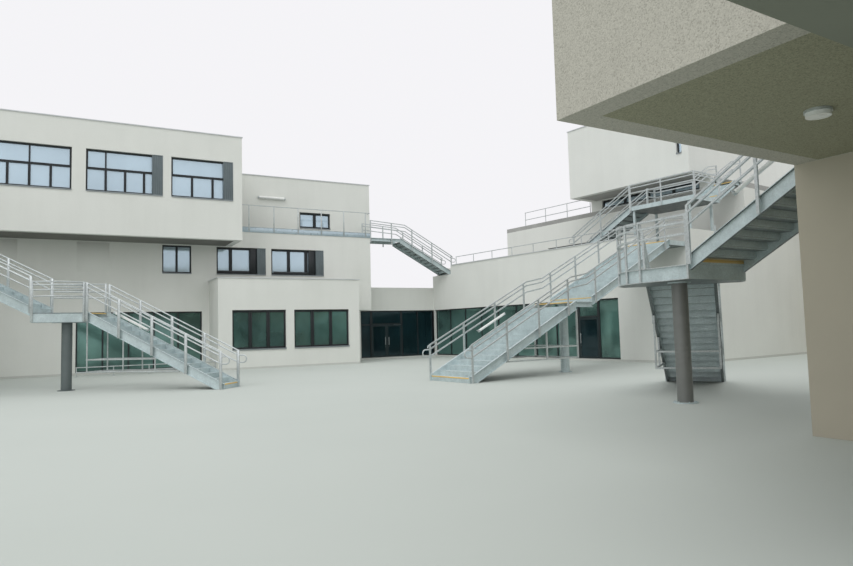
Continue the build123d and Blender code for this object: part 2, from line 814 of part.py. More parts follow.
with BuildPart() as left_floors:
    add_slab(site, rectangle(LEFT_END, BLOCK_RIGHT, FIRST_FACE, LEFT_BACK), 0, GROUND_PLATE)
    add_slab(
        site,
        rectangle(BLOCK_LEFT, BLOCK_RIGHT, FRONT_FACE, FIRST_FACE - STEEL_GAP),
        0,
        GROUND_PLATE,
    )
    add_slab(
        site,
        [
            (LEFT_END + WALL, FIRST_FACE + WALL),
            (BLOCK_LEFT + WALL, FIRST_FACE + WALL),
            (BLOCK_LEFT + WALL, FIRST_FACE),
            (BLOCK_RIGHT - WALL, FIRST_FACE),
            (BLOCK_RIGHT - WALL, FIRST_FACE + WALL),
            (WING_RIGHT - WALL, FIRST_FACE + WALL),
            (WING_RIGHT - WALL, inner_back),
            (LEFT_END + WALL, inner_back),
        ],
        FIRST_FLOOR - FLOOR_PLATE,
        FLOOR_PLATE,
    )
    for left, right, front in (
        (LEFT_END + WALL, BOX_RIGHT - WALL, FRONT_FACE + WALL),
        (BOX_RIGHT, WING_RIGHT - WALL, FIRST_FACE + WALL),
    ):
        add_slab(
            site,
            rectangle(left, right, front, inner_back),
            SECOND_FLOOR - FLOOR_PLATE,
            FLOOR_PLATE,
        )
    add_slab(
        site,
        rectangle(LEFT_END + WALL, BOX_RIGHT - WALL, FRONT_FACE + WALL, FIRST_FACE),
        BOX_SOFFIT,
        SOFFIT_PLATE,
    )
    add_slab(
        site,
        rectangle(WING_RIGHT + STEEL_GAP, SET_BACK_RIGHT, SET_BACK_FACE, LEFT_BACK),
        SECOND_FLOOR - FLOOR_PLATE,
        FLOOR_PLATE,
    )
finish(left_floors, "left_floors")

with BuildPart() as left_roofs:
    add_slab(
        site,
        rectangle(BLOCK_LEFT + WALL, BLOCK_RIGHT - WALL, FRONT_FACE + WALL, FIRST_FACE),
        FIRST_FLOOR,
        ROOF_PLATE,
    )
    add_slab(
        site,
        rectangle(LEFT_END + WALL, BOX_RIGHT - WALL, FRONT_FACE + WALL, inner_back),
        BOX_TOP - ROOF_DEPTH,
        ROOF_PLATE,
    )
    add_slab(
        site,
        rectangle(BOX_RIGHT, SET_BACK_RIGHT - WALL, SET_BACK_FACE + WALL, inner_back),
        SET_BACK_TOP - ROOF_DEPTH,
        ROOF_PLATE,
    )
finish(left_roofs, "left_roofs")

# Link with the entrance, between the left wing and the right wing
link_far = reach(site, LINK_RIGHT - WALL, right_wing, RIGHT_FRONT_LENGTH)
link_outer_far = reach(site, LINK_RIGHT, right_wing, RIGHT_FRONT_LENGTH)
inner_door = DOOR_FACE + DOOR_WALL
link_start, link_end = (BLOCK_RIGHT - WALL, DOOR_FACE), (RIGHT_CORNER_X, DOOR_FACE)

with BuildPart() as link_lintel:
    add_wall(
        site,
        link_start,
        link_end,
        GLAZING_HEAD,
        LINK_TOP,
        [
            (0, WING_RIGHT - WALL - link_start[0], FIRST_FLOOR - FLOOR_PLATE, LINK_TOP),
            (WING_RIGHT - WALL - link_start[0], WING_RIGHT - link_start[0], FIRST_FLOOR, LINK_TOP),
        ],
        DOOR_WALL,
    )
finish(link_lintel, "link_lintel")

link_back_start, link_back_end = (LINK_RIGHT, LEFT_BACK), (WING_RIGHT, LEFT_BACK)
link_back_windows = window_row(
    site,
    link_back_start,
    link_back_end,
    bays(LINK_RIGHT - WING_RIGHT, BACK_WINDOW_WIDTH, BACK_BAY),
    BACK_WINDOW_WIDTH,
    BLOCK_SILL,
    BLOCK_HEAD,
)
with BuildPart() as link_walls:
    add_wall(
        site, link_start, (ENTRANCE_LEFT, DOOR_FACE), GROUND_PLATE, GLAZING_HEAD, thickness=DOOR_WALL
    )
    add_wall(
        site, link_back_start, link_back_end, GROUND_PLATE, LINK_TOP, holes(link_back_windows)
    )
finish(link_walls, "link_walls")

with BuildPart() as link_right_wall:
    add_wall(
        site, (LINK_RIGHT, link_outer_far), (LINK_RIGHT, inner_back), GROUND_PLATE, LINK_TOP
    )
finish(link_right_wall, "link_right_wall")

with BuildPart() as link_floor_and_roof:
    add_slab(
        site,
        [
            (BLOCK_RIGHT, DOOR_FACE),
            (RIGHT_CORNER_X, DOOR_FACE),
            (LINK_RIGHT, link_outer_far),
            (LINK_RIGHT, LEFT_BACK),
            (BLOCK_RIGHT, LEFT_BACK),
        ],
        0,
        GROUND_PLATE,
    )
    add_slab(
        site,
        [
            (WING_RIGHT - WALL, inner_door),
            (RIGHT_CORNER_X, inner_door),
            (RIGHT_CORNER_X, DOOR_FACE),
            (LINK_RIGHT - WALL, link_far),
            (LINK_RIGHT - WALL, inner_back),
            (WING_RIGHT - WALL, inner_back),
        ],
        FIRST_FLOOR - ROOF_PLATE,
        ROOF_PLATE,
    )
finish(link_floor_and_roof, "link_floor_and_roof")

# Right wing: its front is one long band over the glazing, on a pier at the near end
band_start, band_end = (0, RIGHT_FRONT_LENGTH), (0, 0)
glazing_left = RIGHT_CORNER_POST
glazing_right = RIGHT_FRONT_LENGTH - RIGHT_GLAZING_NEAR
with BuildPart() as right_front_band:
    add_wall(
        right_wing,
        band_start,
        band_end,
        GLAZING_HEAD,
        TERRACE_TOP,
        [
            (
                RIGHT_FRONT_LENGTH - MAIN_STAIR_FAR,
                RIGHT_FRONT_LENGTH - MAIN_STAIR_NEAR,
                TERRACE_FLOOR,
                TERRACE_TOP,
            ),
            (0, RIGHT_FRONT_LENGTH - BRIDGE_GAP_NEAR, TERRACE_FLOOR, TERRACE_TOP),
        ],
    )
finish(right_front_band, "right_front_band")

with BuildPart() as right_front_piers:
    add_wall(right_wing, band_start, (0, RIGHT_FRONT_LENGTH - glazing_left), GROUND_PLATE, GLAZING_HEAD)
    add_wall(right_wing, (0, RIGHT_GLAZING_NEAR), band_end, GROUND_PLATE, GLAZING_HEAD)
finish(right_front_piers, "right_front_piers")

near_start, near_end = (WALL, 0), (RIGHT_DEPTH - WALL, 0)
far_start, far_end = (RIGHT_DEPTH - WALL, RIGHT_FRONT_LENGTH), (WALL, RIGHT_FRONT_LENGTH)
past_opening = (LINK_OPENING_RIGHT, RIGHT_FRONT_LENGTH)
right_far_windows = window_row(
    right_wing,
    far_start,
    far_end,
    bays(far_start[0] - past_opening[0], BACK_WINDOW_WIDTH, BACK_BAY),
    BACK_WINDOW_WIDTH,
    BLOCK_SILL,
    BLOCK_HEAD,
)
with BuildPart() as right_side_walls:
    add_wall(
        right_wing, near_start, (UPPER_FACE_RIGHT - STEEL_GAP, 0), GROUND_PLATE, TERRACE_TOP
    )
    add_wall(
        right_wing, (UPPER_FACE_RIGHT, 0), near_end, GROUND_PLATE, LOW_ROOF_TOP - ROOF_PLATE
    )
    add_wall(
        right_wing,
        far_start,
        past_opening,
        GROUND_PLATE,
        TERRACE_TOP,
        holes(right_far_windows),
    )
    add_wall(
        right_wing,
        (LINK_OPENING_RIGHT - STEEL_GAP, RIGHT_FRONT_LENGTH),
        far_end,
        GLAZING_HEAD,
        TERRACE_TOP,
    )
finish(right_side_walls, "right_side_walls")

rear_start, rear_end = (RIGHT_DEPTH, 0), (RIGHT_DEPTH, RIGHT_FRONT_LENGTH)
rear_lefts = bays(RIGHT_FRONT_LENGTH, BACK_WINDOW_WIDTH, BACK_BAY)
right_rear_windows = []
for sill, head in ((BLOCK_SILL, BLOCK_HEAD), (RIGHT_UPPER_SILL, RIGHT_UPPER_HEAD)):
    right_rear_windows.append(
        window_row(right_wing, rear_start, rear_end, rear_lefts, BACK_WINDOW_WIDTH, sill, head)
    )
with BuildPart() as right_rear_wall:
    add_wall(
        right_wing, rear_start, rear_end, GROUND_PLATE, TERRACE_TOP, holes(right_rear_windows[0])
    )
    add_wall(
        right_wing,
        rear_start,
        (RIGHT_DEPTH, UPPER_LEFT_END),
        TERRACE_TOP + STEEL_GAP,
        LOW_ROOF_TOP - ROOF_PLATE,
        holes(right_rear_windows[1]),
    )
finish(right_rear_wall, "right_rear_wall")

# First storey of the right wing, set back behind its terrace
upper_start, upper_end = (UPPER_FACE_RIGHT, UPPER_LEFT_END), (UPPER_FACE_RIGHT, WALL)
upper_far_start = (RIGHT_DEPTH - WALL, UPPER_LEFT_END)
upper_far_end = (UPPER_FACE_RIGHT + WALL, UPPER_LEFT_END)
strip_window = Window(
    right_wing,
    upper_start,
    upper_end,
    (UPPER_LEFT_END - STRIP_RIGHT, UPPER_LEFT_END - STRIP_LEFT, STRIP_SILL, STRIP_HEAD),
    [],
)
under_start, under_end = (UPPER_FACE_RIGHT, CANTILEVER_FAR), (UPPER_FACE_RIGHT, CANTILEVER_NEAR)
high_left, high_right = CANTILEVER_FAR - HIGH_STRIP_RIGHT, CANTILEVER_FAR - HIGH_STRIP_LEFT
high_strip = Window(
    right_wing,
    under_start,
    under_end,
    (high_left, high_right, HIGH_STRIP_SILL, HIGH_STRIP_HEAD),
    even(high_left, high_right, 4),
)
with BuildPart() as right_upper_front_wall:
    add_wall(
        right_wing,
        upper_start,
        upper_end,
        TERRACE_FLOOR,
        LOW_ROOF_TOP - ROOF_PLATE,
        [strip_window.hole],
    )
    add_wall(
        right_wing, under_start, under_end, LOW_ROOF_TOP, CANTILEVER_FOOT, [high_strip.hole]
    )
finish(right_upper_front_wall, "right_upper_front_wall")
with BuildPart() as right_upper_far_wall:
    add_wall(
        right_wing, upper_far_start, upper_far_end, TERRACE_FLOOR, LOW_ROOF_TOP - ROOF_PLATE
    )
finish(right_upper_far_wall, "right_upper_far_wall")

with BuildPart() as right_floors:
    add_slab(right_wing, rectangle(0, RIGHT_DEPTH, 0, RIGHT_FRONT_LENGTH), 0, GROUND_PLATE)
    add_slab(
        right_wing,
        rectangle(WALL, RIGHT_DEPTH - WALL, WALL, RIGHT_FRONT_LENGTH - WALL),
        TERRACE_FLOOR - FLOOR_PLATE,
        FLOOR_PLATE,
    )
finish(right_floors, "right_floors")

# Cantilevered second floor box on the right wing
top_start, top_end = (CANTILEVER_FACE, CANTILEVER_FAR), (CANTILEVER_FACE, CANTILEVER_NEAR)
box_left = CANTILEVER_WINDOW_LEFT
box_window = Window(
    right_wing,
    top_start,
    top_end,
    (box_left, CANTILEVER_FAR - CANTILEVER_NEAR - WALL, CANTILEVER_SILL, CANTILEVER_HEAD),
    [],
)
with BuildPart() as right_box_end_walls:
    add_wall(right_wing, top_start, top_end, CANTILEVER_FOOT, RIGHT_TOP, [box_window.hole])
    add_wall(
        right_wing,
        (CANTILEVER_REAR, CANTILEVER_NEAR),
        (CANTILEVER_REAR, CANTILEVER_FAR),
        LOW_ROOF_TOP,
        RIGHT_TOP,
    )
finish(right_box_end_walls, "right_box_end_walls")
with BuildPart() as right_box_side_walls:
    near, far = CANTILEVER_NEAR, CANTILEVER_FAR
    add_wall(
        right_wing,
        (CANTILEVER_FACE + WALL, near),
        (CANTILEVER_REAR - WALL, near),
        CANTILEVER_FOOT,
        RIGHT_TOP,
    )
    add_wall(
        right_wing,
        (CANTILEVER_REAR - WALL, far),
        (CANTILEVER_FACE + WALL, far),
        CANTILEVER_FOOT,
        RIGHT_TOP,
    )
finish(right_box_side_walls, "right_box_side_walls")
with BuildPart() as right_roofs:
    add_slab(
        right_wing,
        rectangle(UPPER_FACE_RIGHT, RIGHT_DEPTH, 0, UPPER_LEFT_END),
        LOW_ROOF_TOP - ROOF_PLATE,
        ROOF_PLATE,
    )
    inner_box = rectangle(
        CANTILEVER_FACE + WALL,
        CANTILEVER_REAR - WALL,
        CANTILEVER_NEAR + WALL,
        CANTILEVER_FAR - WALL,
    )
    add_slab(right_wing, inner_box, CANTILEVER_FOOT, FLOOR_PLATE)
    add_slab(right_wing, inner_box, RIGHT_TOP - ROOF_DEPTH, ROOF_PLATE)
finish(right_roofs, "right_roofs")

# Front wing, with its upper storey past the ground storey's end and a porch canopy below
long_start, long_end = (EAST_INNER, 0), (-FRONT_OVERHANG, 0)
front_windows = window_row(
    front_wing,
    long_start,
    long_end,
    [FRONT_FIRST_WINDOW, FRONT_FIRST_WINDOW + BACK_BAY],
    BACK_WINDOW_WIDTH,
    BLOCK_SILL,
    BLOCK_HEAD,
)
upper_door = Window(
    front_wing,
    long_start,
    long_end,
    (EAST_INNER - UP_FLIGHT_RIGHT, EAST_INNER - UP_FLIGHT_LEFT, FRONT_FLOOR, UPPER_DOOR_HEAD),
    [],
)
east_far = reach(front_wing, FRONT_LENGTH, right_wing)
east_wall_far = reach(front_wing, FRONT_LENGTH - WALL, right_wing)
east_inner_far = reach(front_wing, EAST_INNER, right_wing)
outer_start, outer_end = (-FRONT_OVERHANG, -FRONT_DEPTH), (FRONT_LENGTH, -FRONT_DEPTH)
outer_lefts = bays(FRONT_LENGTH, BACK_WINDOW_WIDTH, BACK_BAY)
outer_low_windows = window_row(
    front_wing,
    (0, -FRONT_DEPTH),
    outer_end,
    outer_lefts,
    BACK_WINDOW_WIDTH,
    BLOCK_SILL,
    BLOCK_HEAD,
)
outer_high_windows = window_row(
    front_wing,
    outer_start,
    outer_end,
    [FRONT_OVERHANG + left for left in outer_lefts],
    BACK_WINDOW_WIDTH,
    FIRST_SILL,
    FIRST_HEAD,
)
with BuildPart() as front_long_walls:
    add_wall(
        front_wing, long_start, (0, 0), GROUND_PLATE, FRONT_SOFFIT - STEEL_GAP, holes(front_windows)
    )
    add_wall(front_wing, long_start, long_end, FRONT_SOFFIT, FRONT_TOP, [upper_door.hole])
    for start, foot, top, windows in (
        ((0, -FRONT_DEPTH), GROUND_PLATE, FRONT_SOFFIT - STEEL_GAP, outer_low_windows),
        (outer_start, FRONT_SOFFIT, FRONT_TOP, outer_high_windows),
    ):
        add_wall(front_wing, start, outer_end, foot, top, holes(windows))
finish(front_long_walls, "front_long_walls")

with BuildPart() as front_end_walls:
    near_inner = -FRONT_DEPTH + WALL
    add_wall(front_wing, (0, -WALL), (0, near_inner), GROUND_PLATE, FRONT_SOFFIT)
    add_wall(
        front_wing, (-FRONT_OVERHANG, -WALL), (-FRONT_OVERHANG, near_inner), FRONT_SOFFIT, FRONT_TOP
    )
finish(front_end_walls, "front_end_walls")

east_start, east_end = (FRONT_LENGTH, near_inner), (FRONT_LENGTH, east_wall_far)
east_lefts = bays(east_wall_far - near_inner, BACK_WINDOW_WIDTH, BACK_BAY)
east_windows = []
for sill, head in ((BLOCK_SILL, BLOCK_HEAD), (FIRST_SILL, FIRST_HEAD)):
    east_windows += window_row(
        front_wing, east_start, east_end, east_lefts, BACK_WINDOW_WIDTH, sill, head
    )
inner_start, inner_end = (EAST_INNER, east_inner_far), (EAST_INNER, 0)
inner_lefts = bays(east_inner_far, BACK_WINDOW_WIDTH, BACK_BAY)
east_inner_windows = window_row(
    front_wing, inner_start, inner_end, inner_lefts, BACK_WINDOW_WIDTH, BLOCK_SILL, BLOCK_HEAD
)
with BuildPart() as east_walls:
    add_wall(front_wing, east_start, east_end, GROUND_PLATE, FRONT_TOP, holes(east_windows))
    add_wall(
        front_wing, inner_start, inner_end, GROUND_PLATE, FRONT_TOP, holes(east_inner_windows)
    )
finish(east_walls, "east_walls")

with BuildPart() as front_floors:
    add_slab(front_wing, rectangle(0, FRONT_LENGTH, -FRONT_DEPTH, 0), 0, GROUND_PLATE)
    add_slab(
        front_wing,
        [
            (EAST_INNER, STEEL_GAP),
            (FRONT_LENGTH, STEEL_GAP),
            (FRONT_LENGTH, east_far),
            (EAST_INNER, east_inner_far),
        ],
        0,
        GROUND_PLATE,
    )
    upper_levels = (
        (FRONT_SOFFIT, FRONT_FLOOR - FRONT_SOFFIT),
        (FRONT_TOP - ROOF_DEPTH, ROOF_PLATE),
    )
    for foot, thickness in upper_levels:
        add_slab(
            front_wing,
            rectangle(
                -FRONT_OVERHANG + WALL, FRONT_LENGTH - WALL, -FRONT_DEPTH + WALL, -WALL
            ),
            foot,
            thickness,
        )
        add_slab(
            front_wing,
            [
                (EAST_INNER + WALL, STEEL_GAP - WALL),
                (FRONT_LENGTH - WALL, STEEL_GAP - WALL),
                (FRONT_LENGTH - WALL, east_wall_far),
                (EAST_INNER + WALL, reach(front_wing, EAST_INNER + WALL, right_wing)),
            ],
            foot,
            thickness,
        )
finish(front_floors, "front_floors_and_roof")

with BuildPart() as porch_canopy:
    add_slab(
        front_wing,
        rectangle(PORCH_LEFT, 0, PORCH_NEAR, PORCH_FAR),
        FRONT_SOFFIT - PORCH_PLATE,
        PORCH_PLATE,
    )
finish(porch_canopy, "porch_canopy")

# West block with the terrace that the left stair reaches
with BuildPart() as west_walls:
    add_wall(
        site,
        (WEST_RIGHT, WEST_NEAR + WALL),
        (WEST_RIGHT, FIRST_FACE),
        GROUND_PLATE,
        TERRACE_TOP,
        [
            (
                WEST_GAP_NEAR - WEST_NEAR - WALL,
                WEST_GAP_FAR - WEST_NEAR - WALL,
                TERRACE_FLOOR,
                TERRACE_TOP,
            )
        ],
    )
    add_wall(
        site, (LEFT_END, FIRST_FACE), (LEFT_END, WEST_NEAR + WALL), GROUND_PLATE, TERRACE_TOP
    )
finish(west_walls, "west_side_walls")
with BuildPart() as west_near_wall:
    add_wall(site, (LEFT_END, WEST_NEAR), (WEST_RIGHT, WEST_NEAR), GROUND_PLATE, TERRACE_TOP)
finish(west_near_wall, "west_near_wall")
with BuildPart() as west_floors:
    add_slab(site, rectangle(LEFT_END, WEST_RIGHT, WEST_NEAR, FIRST_FACE), 0, GROUND_PLATE)
    add_slab(
        site,
        rectangle(LEFT_END + WALL, WEST_RIGHT - WALL, WEST_NEAR + WALL, FIRST_FACE),
        TERRACE_FLOOR - FLOOR_PLATE,
        FLOOR_PLATE,
    )
finish(west_floors, "west_floors")

# The two courtyard stairs are alike: two flights of steel with a landing between, on one column
main_foot = world(right_wing, MAIN_STAIR_FOOT, (MAIN_STAIR_NEAR + MAIN_STAIR_FAR) / 2)
main_stair = stair_plane(main_foot.X, main_foot.Y, 0, RIGHT_TURN)
left_stair = stair_plane(LEFT_STAIR_X, LEFT_STAIR_Y, 0, LEFT_STAIR_ANGLE)
first = Flight(0, 0, STEPS, RISER, GOING)
second = Flight(first.end_x + LANDING_LENGTH, first.end_z, STEPS, RISER, GOING)
left_top = (WEST_RIGHT - LEFT_STAIR_X) / cos(radians(LEFT_STAIR_ANGLE))
left_skew = tan(radians(LEFT_STAIR_ANGLE)) * (STAIR_WIDTH / 2 + STRINGER)
rail_skew = abs(left_skew) * (1 + RAIL / STAIR_WIDTH * 2)
stairs = (
    ("main", main_stair, MAIN_COLUMN, -MAIN_STAIR_FOOT, 0),
    ("left", left_stair, LEFT_COLUMN, left_top, left_skew),
)
for name, stair, column, top_end, skew in stairs:
    with BuildPart() as stair_frame:
        add_stringers(stair, first, STAIR_WIDTH, True)
        add_stringers(stair, second, STAIR_WIDTH, False)
        add_landing(stair, first.end_x, second.x, first.end_z, STAIR_WIDTH)
        outer = STAIR_WIDTH / 2 + STRINGER
        with BuildSketch(stair.offset(second.end_z - LANDING_DEPTH)) as bridge:
            Polygon(
                (second.end_x + STEEL_GAP, -outer),
                (top_end - skew, -outer),
                (top_end + skew, outer),
                (second.end_x + STEEL_GAP, outer),
                align=None,
            )
        extrude(bridge.sketch, amount=LANDING_DEPTH)
        foot = stair.from_local_coords(Vector(*column))
        add_column(foot.X, foot.Y, first.end_z - TREAD_PLATE - STEEL_GAP)
        add_treads(stair, first, STAIR_WIDTH)
        add_treads(stair, second, STAIR_WIDTH)
    finish(stair_frame, f"{name}_stair")
    last_x = top_end - (rail_skew if skew else 0) - STEEL_GAP
    with BuildPart() as rails:
        add_stair_rails(stair, [first, second], STAIR_WIDTH, last_x)
        add_guard(stair, first, STAIR_WIDTH, first.end_x)
    finish(rails, f"{name}_stair_rails")

# Bridge stair from the upper terrace of the left wing down to the right wing's terrace
bridge_foot = (BRIDGE_FOOT_X, FIRST_FACE + BRIDGE_WIDTH / 2 + STRINGER)
bridge_stair = stair_plane(*bridge_foot, TERRACE_FLOOR, 180)
bridge_riser = (LEFT_TERRACE_TOP - TERRACE_FLOOR) / BRIDGE_RISERS
bridge_flight = Flight(0, 0, BRIDGE_RISERS, bridge_riser, SMALL_GOING)
bridge_end = BRIDGE_FOOT_X - WING_RIGHT

# Roof stair from the right wing's terrace over a platform to the low roof
roof_foot = world(right_wing, (ROOF_STAIR_LEFT + ROOF_STAIR_RIGHT) / 2, ROOF_STAIR_FOOT)
roof_stair = stair_plane(roof_foot.X, roof_foot.Y, TERRACE_FLOOR, RIGHT_TURN - 90)
roof_width = ROOF_STAIR_RIGHT - ROOF_STAIR_LEFT
platform_rise = PLATFORM_TOP - TERRACE_FLOOR
roof_flight = Flight(0, 0, BRIDGE_RISERS, platform_rise / BRIDGE_RISERS, SMALL_GOING)
platform_far = ROOF_STAIR_FOOT - roof_flight.end_x
last_foot = world(right_wing, PLATFORM_RIGHT, PLATFORM_NEAR + LAST_FLIGHT_WIDTH / 2 + STRINGER)
last_stair = stair_plane(last_foot.X, last_foot.Y, PLATFORM_TOP, RIGHT_TURN)
last_flight = Flight(0, 0, LAST_RISERS, (LOW_ROOF_TOP - PLATFORM_TOP) / LAST_RISERS, SMALL_GOING)
with BuildPart() as terrace_stairs:
    add_stringers(bridge_stair, bridge_flight, BRIDGE_WIDTH, True)
    add_landing(bridge_stair, bridge_flight.end_x, bridge_end, bridge_flight.end_z, BRIDGE_WIDTH)
    add_treads(bridge_stair, bridge_flight, BRIDGE_WIDTH)
    add_stringers(roof_stair, roof_flight, roof_width, True)
    add_slab(
        right_wing,
        rectangle(
            ROOF_STAIR_LEFT - STRINGER,
            PLATFORM_RIGHT - STEEL_GAP,
            PLATFORM_NEAR,
            platform_far - STEEL_GAP,
        ),
        PLATFORM_TOP - LANDING_DEPTH,
        LANDING_DEPTH,
    )
    add_stringers(last_stair, last_flight, LAST_FLIGHT_WIDTH, False)
    add_landing(
        last_stair,
        last_flight.end_x,
        UPPER_FACE_RIGHT - PLATFORM_RIGHT,
        LOW_ROOF_TOP - PLATFORM_TOP,
        LAST_FLIGHT_WIDTH,
    )
    for x in (ROOF_STAIR_LEFT + PLATFORM_POST / 2, PLATFORM_RIGHT - PLATFORM_POST):
        for y in (WALL + PLATFORM_POST, platform_far - PLATFORM_POST):
            with BuildSketch(right_wing.offset(TERRACE_FLOOR)) as post:
                with Locations((x, y)):
                    Rectangle(PLATFORM_POST, PLATFORM_POST)
            extrude(post.sketch, amount=platform_rise - LANDING_DEPTH - STEEL_GAP)
    add_treads(roof_stair, roof_flight, roof_width)
    add_treads(last_stair, last_flight, LAST_FLIGHT_WIDTH)
finish(terrace_stairs, "terrace_stairs")
with BuildPart() as terrace_stair_rails:
    add_stair_rails(bridge_stair, [bridge_flight], BRIDGE_WIDTH, bridge_end - STEEL_GAP)
    add_stair_rails(roof_stair, [roof_flight], roof_width, roof_flight.end_x - STEEL_GAP)
    add_stair_rails(
        last_stair, [last_flight], LAST_FLIGHT_WIDTH, UPPER_FACE_RIGHT - PLATFORM_RIGHT - STEEL_GAP
    )
    front_line = ROOF_STAIR_LEFT - STRINGER - RAIL / 2
    near_line = PLATFORM_NEAR - RAIL / 2
    back_line = PLATFORM_RIGHT - STEEL_GAP + RAIL / 2
    last_side = PLATFORM_NEAR + LAST_FLIGHT_WIDTH + 2 * (STRINGER + RAIL)
    add_edge_rail(
        right_wing, (front_line, platform_far - STEEL_GAP), (front_line, near_line - RAIL / 2), PLATFORM_TOP
    )
    add_edge_rail(
        right_wing,
        (front_line + RAIL / 2 + STEEL_GAP, near_line),
        (PLATFORM_RIGHT - 2 * STEEL_GAP, near_line),
        PLATFORM_TOP,
    )
    add_edge_rail(right_wing, (back_line, last_side), (back_line, platform_far + RAIL / 2), PLATFORM_TOP)
    add_edge_rail(
        right_wing,
        (back_line - RAIL / 2 - STEEL_GAP, platform_far - STEEL_GAP + RAIL / 2),
        (ROOF_STAIR_RIGHT + STRINGER + RAIL + STEEL_GAP, platform_far - STEEL_GAP + RAIL / 2),
        PLATFORM_TOP,
    )
finish(terrace_stair_rails, "terrace_stair_rails")

# Round landing on one column, with a flight up to the front wing and one down under it
centre = world(front_wing, ROUND_X, ROUND_Y)
up_foot = world(front_wing, (UP_FLIGHT_LEFT + UP_FLIGHT_RIGHT) / 2, UP_FLIGHT_FOOT)
up_stair = stair_plane(up_foot.X, up_foot.Y, ROUND_TOP, FRONT_TURN - 90)
up_width = UP_FLIGHT_RIGHT - UP_FLIGHT_LEFT - 2 * STRINGER
up_flight = Flight(0, 0, UP_RISERS, (FRONT_FLOOR - ROUND_TOP) / UP_RISERS, ROUND_GOING)
down_turn = radians(DOWN_ANGLE)
down_run = (DOWN_RISERS - 1) * ROUND_GOING
down_start = Vector(cos(down_turn), sin(down_turn), 0) * (DOWN_START + down_run)
down_stair = stair_plane(centre.X + down_start.X, centre.Y + down_start.Y, 0, DOWN_ANGLE + 180)
down_flight = Flight(0, 0, DOWN_RISERS, ROUND_TOP / DOWN_RISERS, ROUND_GOING)
with BuildPart() as round_landing:
    with BuildSketch(site.offset(ROUND_TOP - ROUND_DEPTH)) as plate:
        with Locations((centre.X, centre.Y)):
            Circle(ROUND_RADIUS)
        corners = [
            (UP_FLIGHT_LEFT, ROUND_Y),
            (UP_FLIGHT_LEFT, UP_FLIGHT_FOOT + STEEL_GAP),
            (UP_FLIGHT_RIGHT, UP_FLIGHT_FOOT + STEEL_GAP),
            (UP_FLIGHT_RIGHT, ROUND_Y),
        ]
        Polygon(*[tuple(world(front_wing, x, y))[:2] for x, y in corners], align=None)
        cut = down_stair.location * Location((down_flight.end_x - ROUND_RADIUS, 0))
        with Locations(cut):
            Rectangle(2 * ROUND_RADIUS, 4 * ROUND_RADIUS, mode=Mode.SUBTRACT)
    extrude(plate.sketch, amount=ROUND_DEPTH)
    column = world(front_wing, *ROUND_COLUMN)
    add_column(column.X, column.Y, ROUND_TOP - ROUND_DEPTH - STEEL_GAP)
finish(round_landing, "round_landing")

with BuildPart() as round_stair:
    add_stringers(up_stair, up_flight, up_width, False)
    add_treads(up_stair, up_flight, up_width)
    add_landing(
        up_stair, up_flight.end_x, UP_FLIGHT_FOOT, FRONT_FLOOR - ROUND_TOP, up_width
    )
    add_stringers(down_stair, down_flight, DOWN_WIDTH, True)
    add_treads(down_stair, down_flight, DOWN_WIDTH)
finish(round_stair, "round_stair")

# Window frames and panes, a wing at a time
entrance_start, entrance_end = (ENTRANCE_LEFT, DOOR_FACE), (RIGHT_CORNER_X, DOOR_FACE)
pair_left = DOOR_LEFT - ENTRANCE_LEFT
pair_right = DOOR_RIGHT - ENTRANCE_LEFT
entrance_width = RIGHT_CORNER_X - ENTRANCE_LEFT
door_head = GROUND_PLATE + DOOR_HEIGHT
entrance_windows = [
    Window(
        site,
        entrance_start,
        entrance_end,
        (0, pair_left - STEEL_GAP, GROUND_PLATE, GLAZING_HEAD),
        [],
        door_head,
    ),
    Window(
        site, entrance_start, entrance_end, (pair_left, pair_right, door_head, GLAZING_HEAD), []
    ),
    Window(
        site,
        entrance_start,
        entrance_end,
        (pair_right + STEEL_GAP, entrance_width, GROUND_PLATE, GLAZING_HEAD),
        even(pair_right, entrance_width, 2),
    ),
]
door_left = RIGHT_FRONT_LENGTH - RIGHT_DOOR_FAR
door_right = RIGHT_FRONT_LENGTH - RIGHT_DOOR_NEAR
right_glazing = [
    Window(
        right_wing,
        band_start,
        band_end,
        (glazing_left, door_left - STEEL_GAP, GROUND_PLATE, GLAZING_HEAD),
        even(glazing_left, door_left, RIGHT_GLAZING_LIGHTS),
    ),
    Window(right_wing, band_start, band_end, (door_left, door_right, door_head, GLAZING_HEAD), []),
    Window(
        right_wing,
        band_start,
        band_end,
        (door_right + STEEL_GAP, glazing_right, GROUND_PLATE, GLAZING_HEAD),
        [],
    ),
]
left_windows = [curtain, *small_windows, middle_window, long_window, *block_windows, *box_windows]
left_windows += [terrace_window, *left_back_windows]
right_windows = [*right_glazing, *right_far_windows, box_window, strip_window, high_strip]
right_windows += [*right_rear_windows[0], *right_rear_windows[1]]
front_wing_windows = [*front_windows, upper_door, *outer_low_windows, *outer_high_windows]
front_wing_windows += [*east_windows, *east_inner_windows]
wings = (
    ("left", left_windows),
    ("link", [*entrance_windows, *link_back_windows]),
    ("right", right_windows),
    ("front", front_wing_windows),
)
pivots = {
    "link": [
        (entrance_start, entrance_end, pair_left, 1),
        (entrance_start, entrance_end, pair_right, -1),
    ],
    "right": [(band_start, band_end, door_right, -1)],
}
for name, windows in wings:
    with BuildPart() as frames:
        add_frames(windows)
        for start, end, jamb, side in pivots.get(name, ()):
            add_pivot(windows[0].frame, start, end, jamb + side * DOOR_CLEARANCE)
    finish(frames, f"{name}_window_frames")
    with BuildPart() as glass:
        add_glass(windows)
    finish(glass, f"{name}_window_glass")


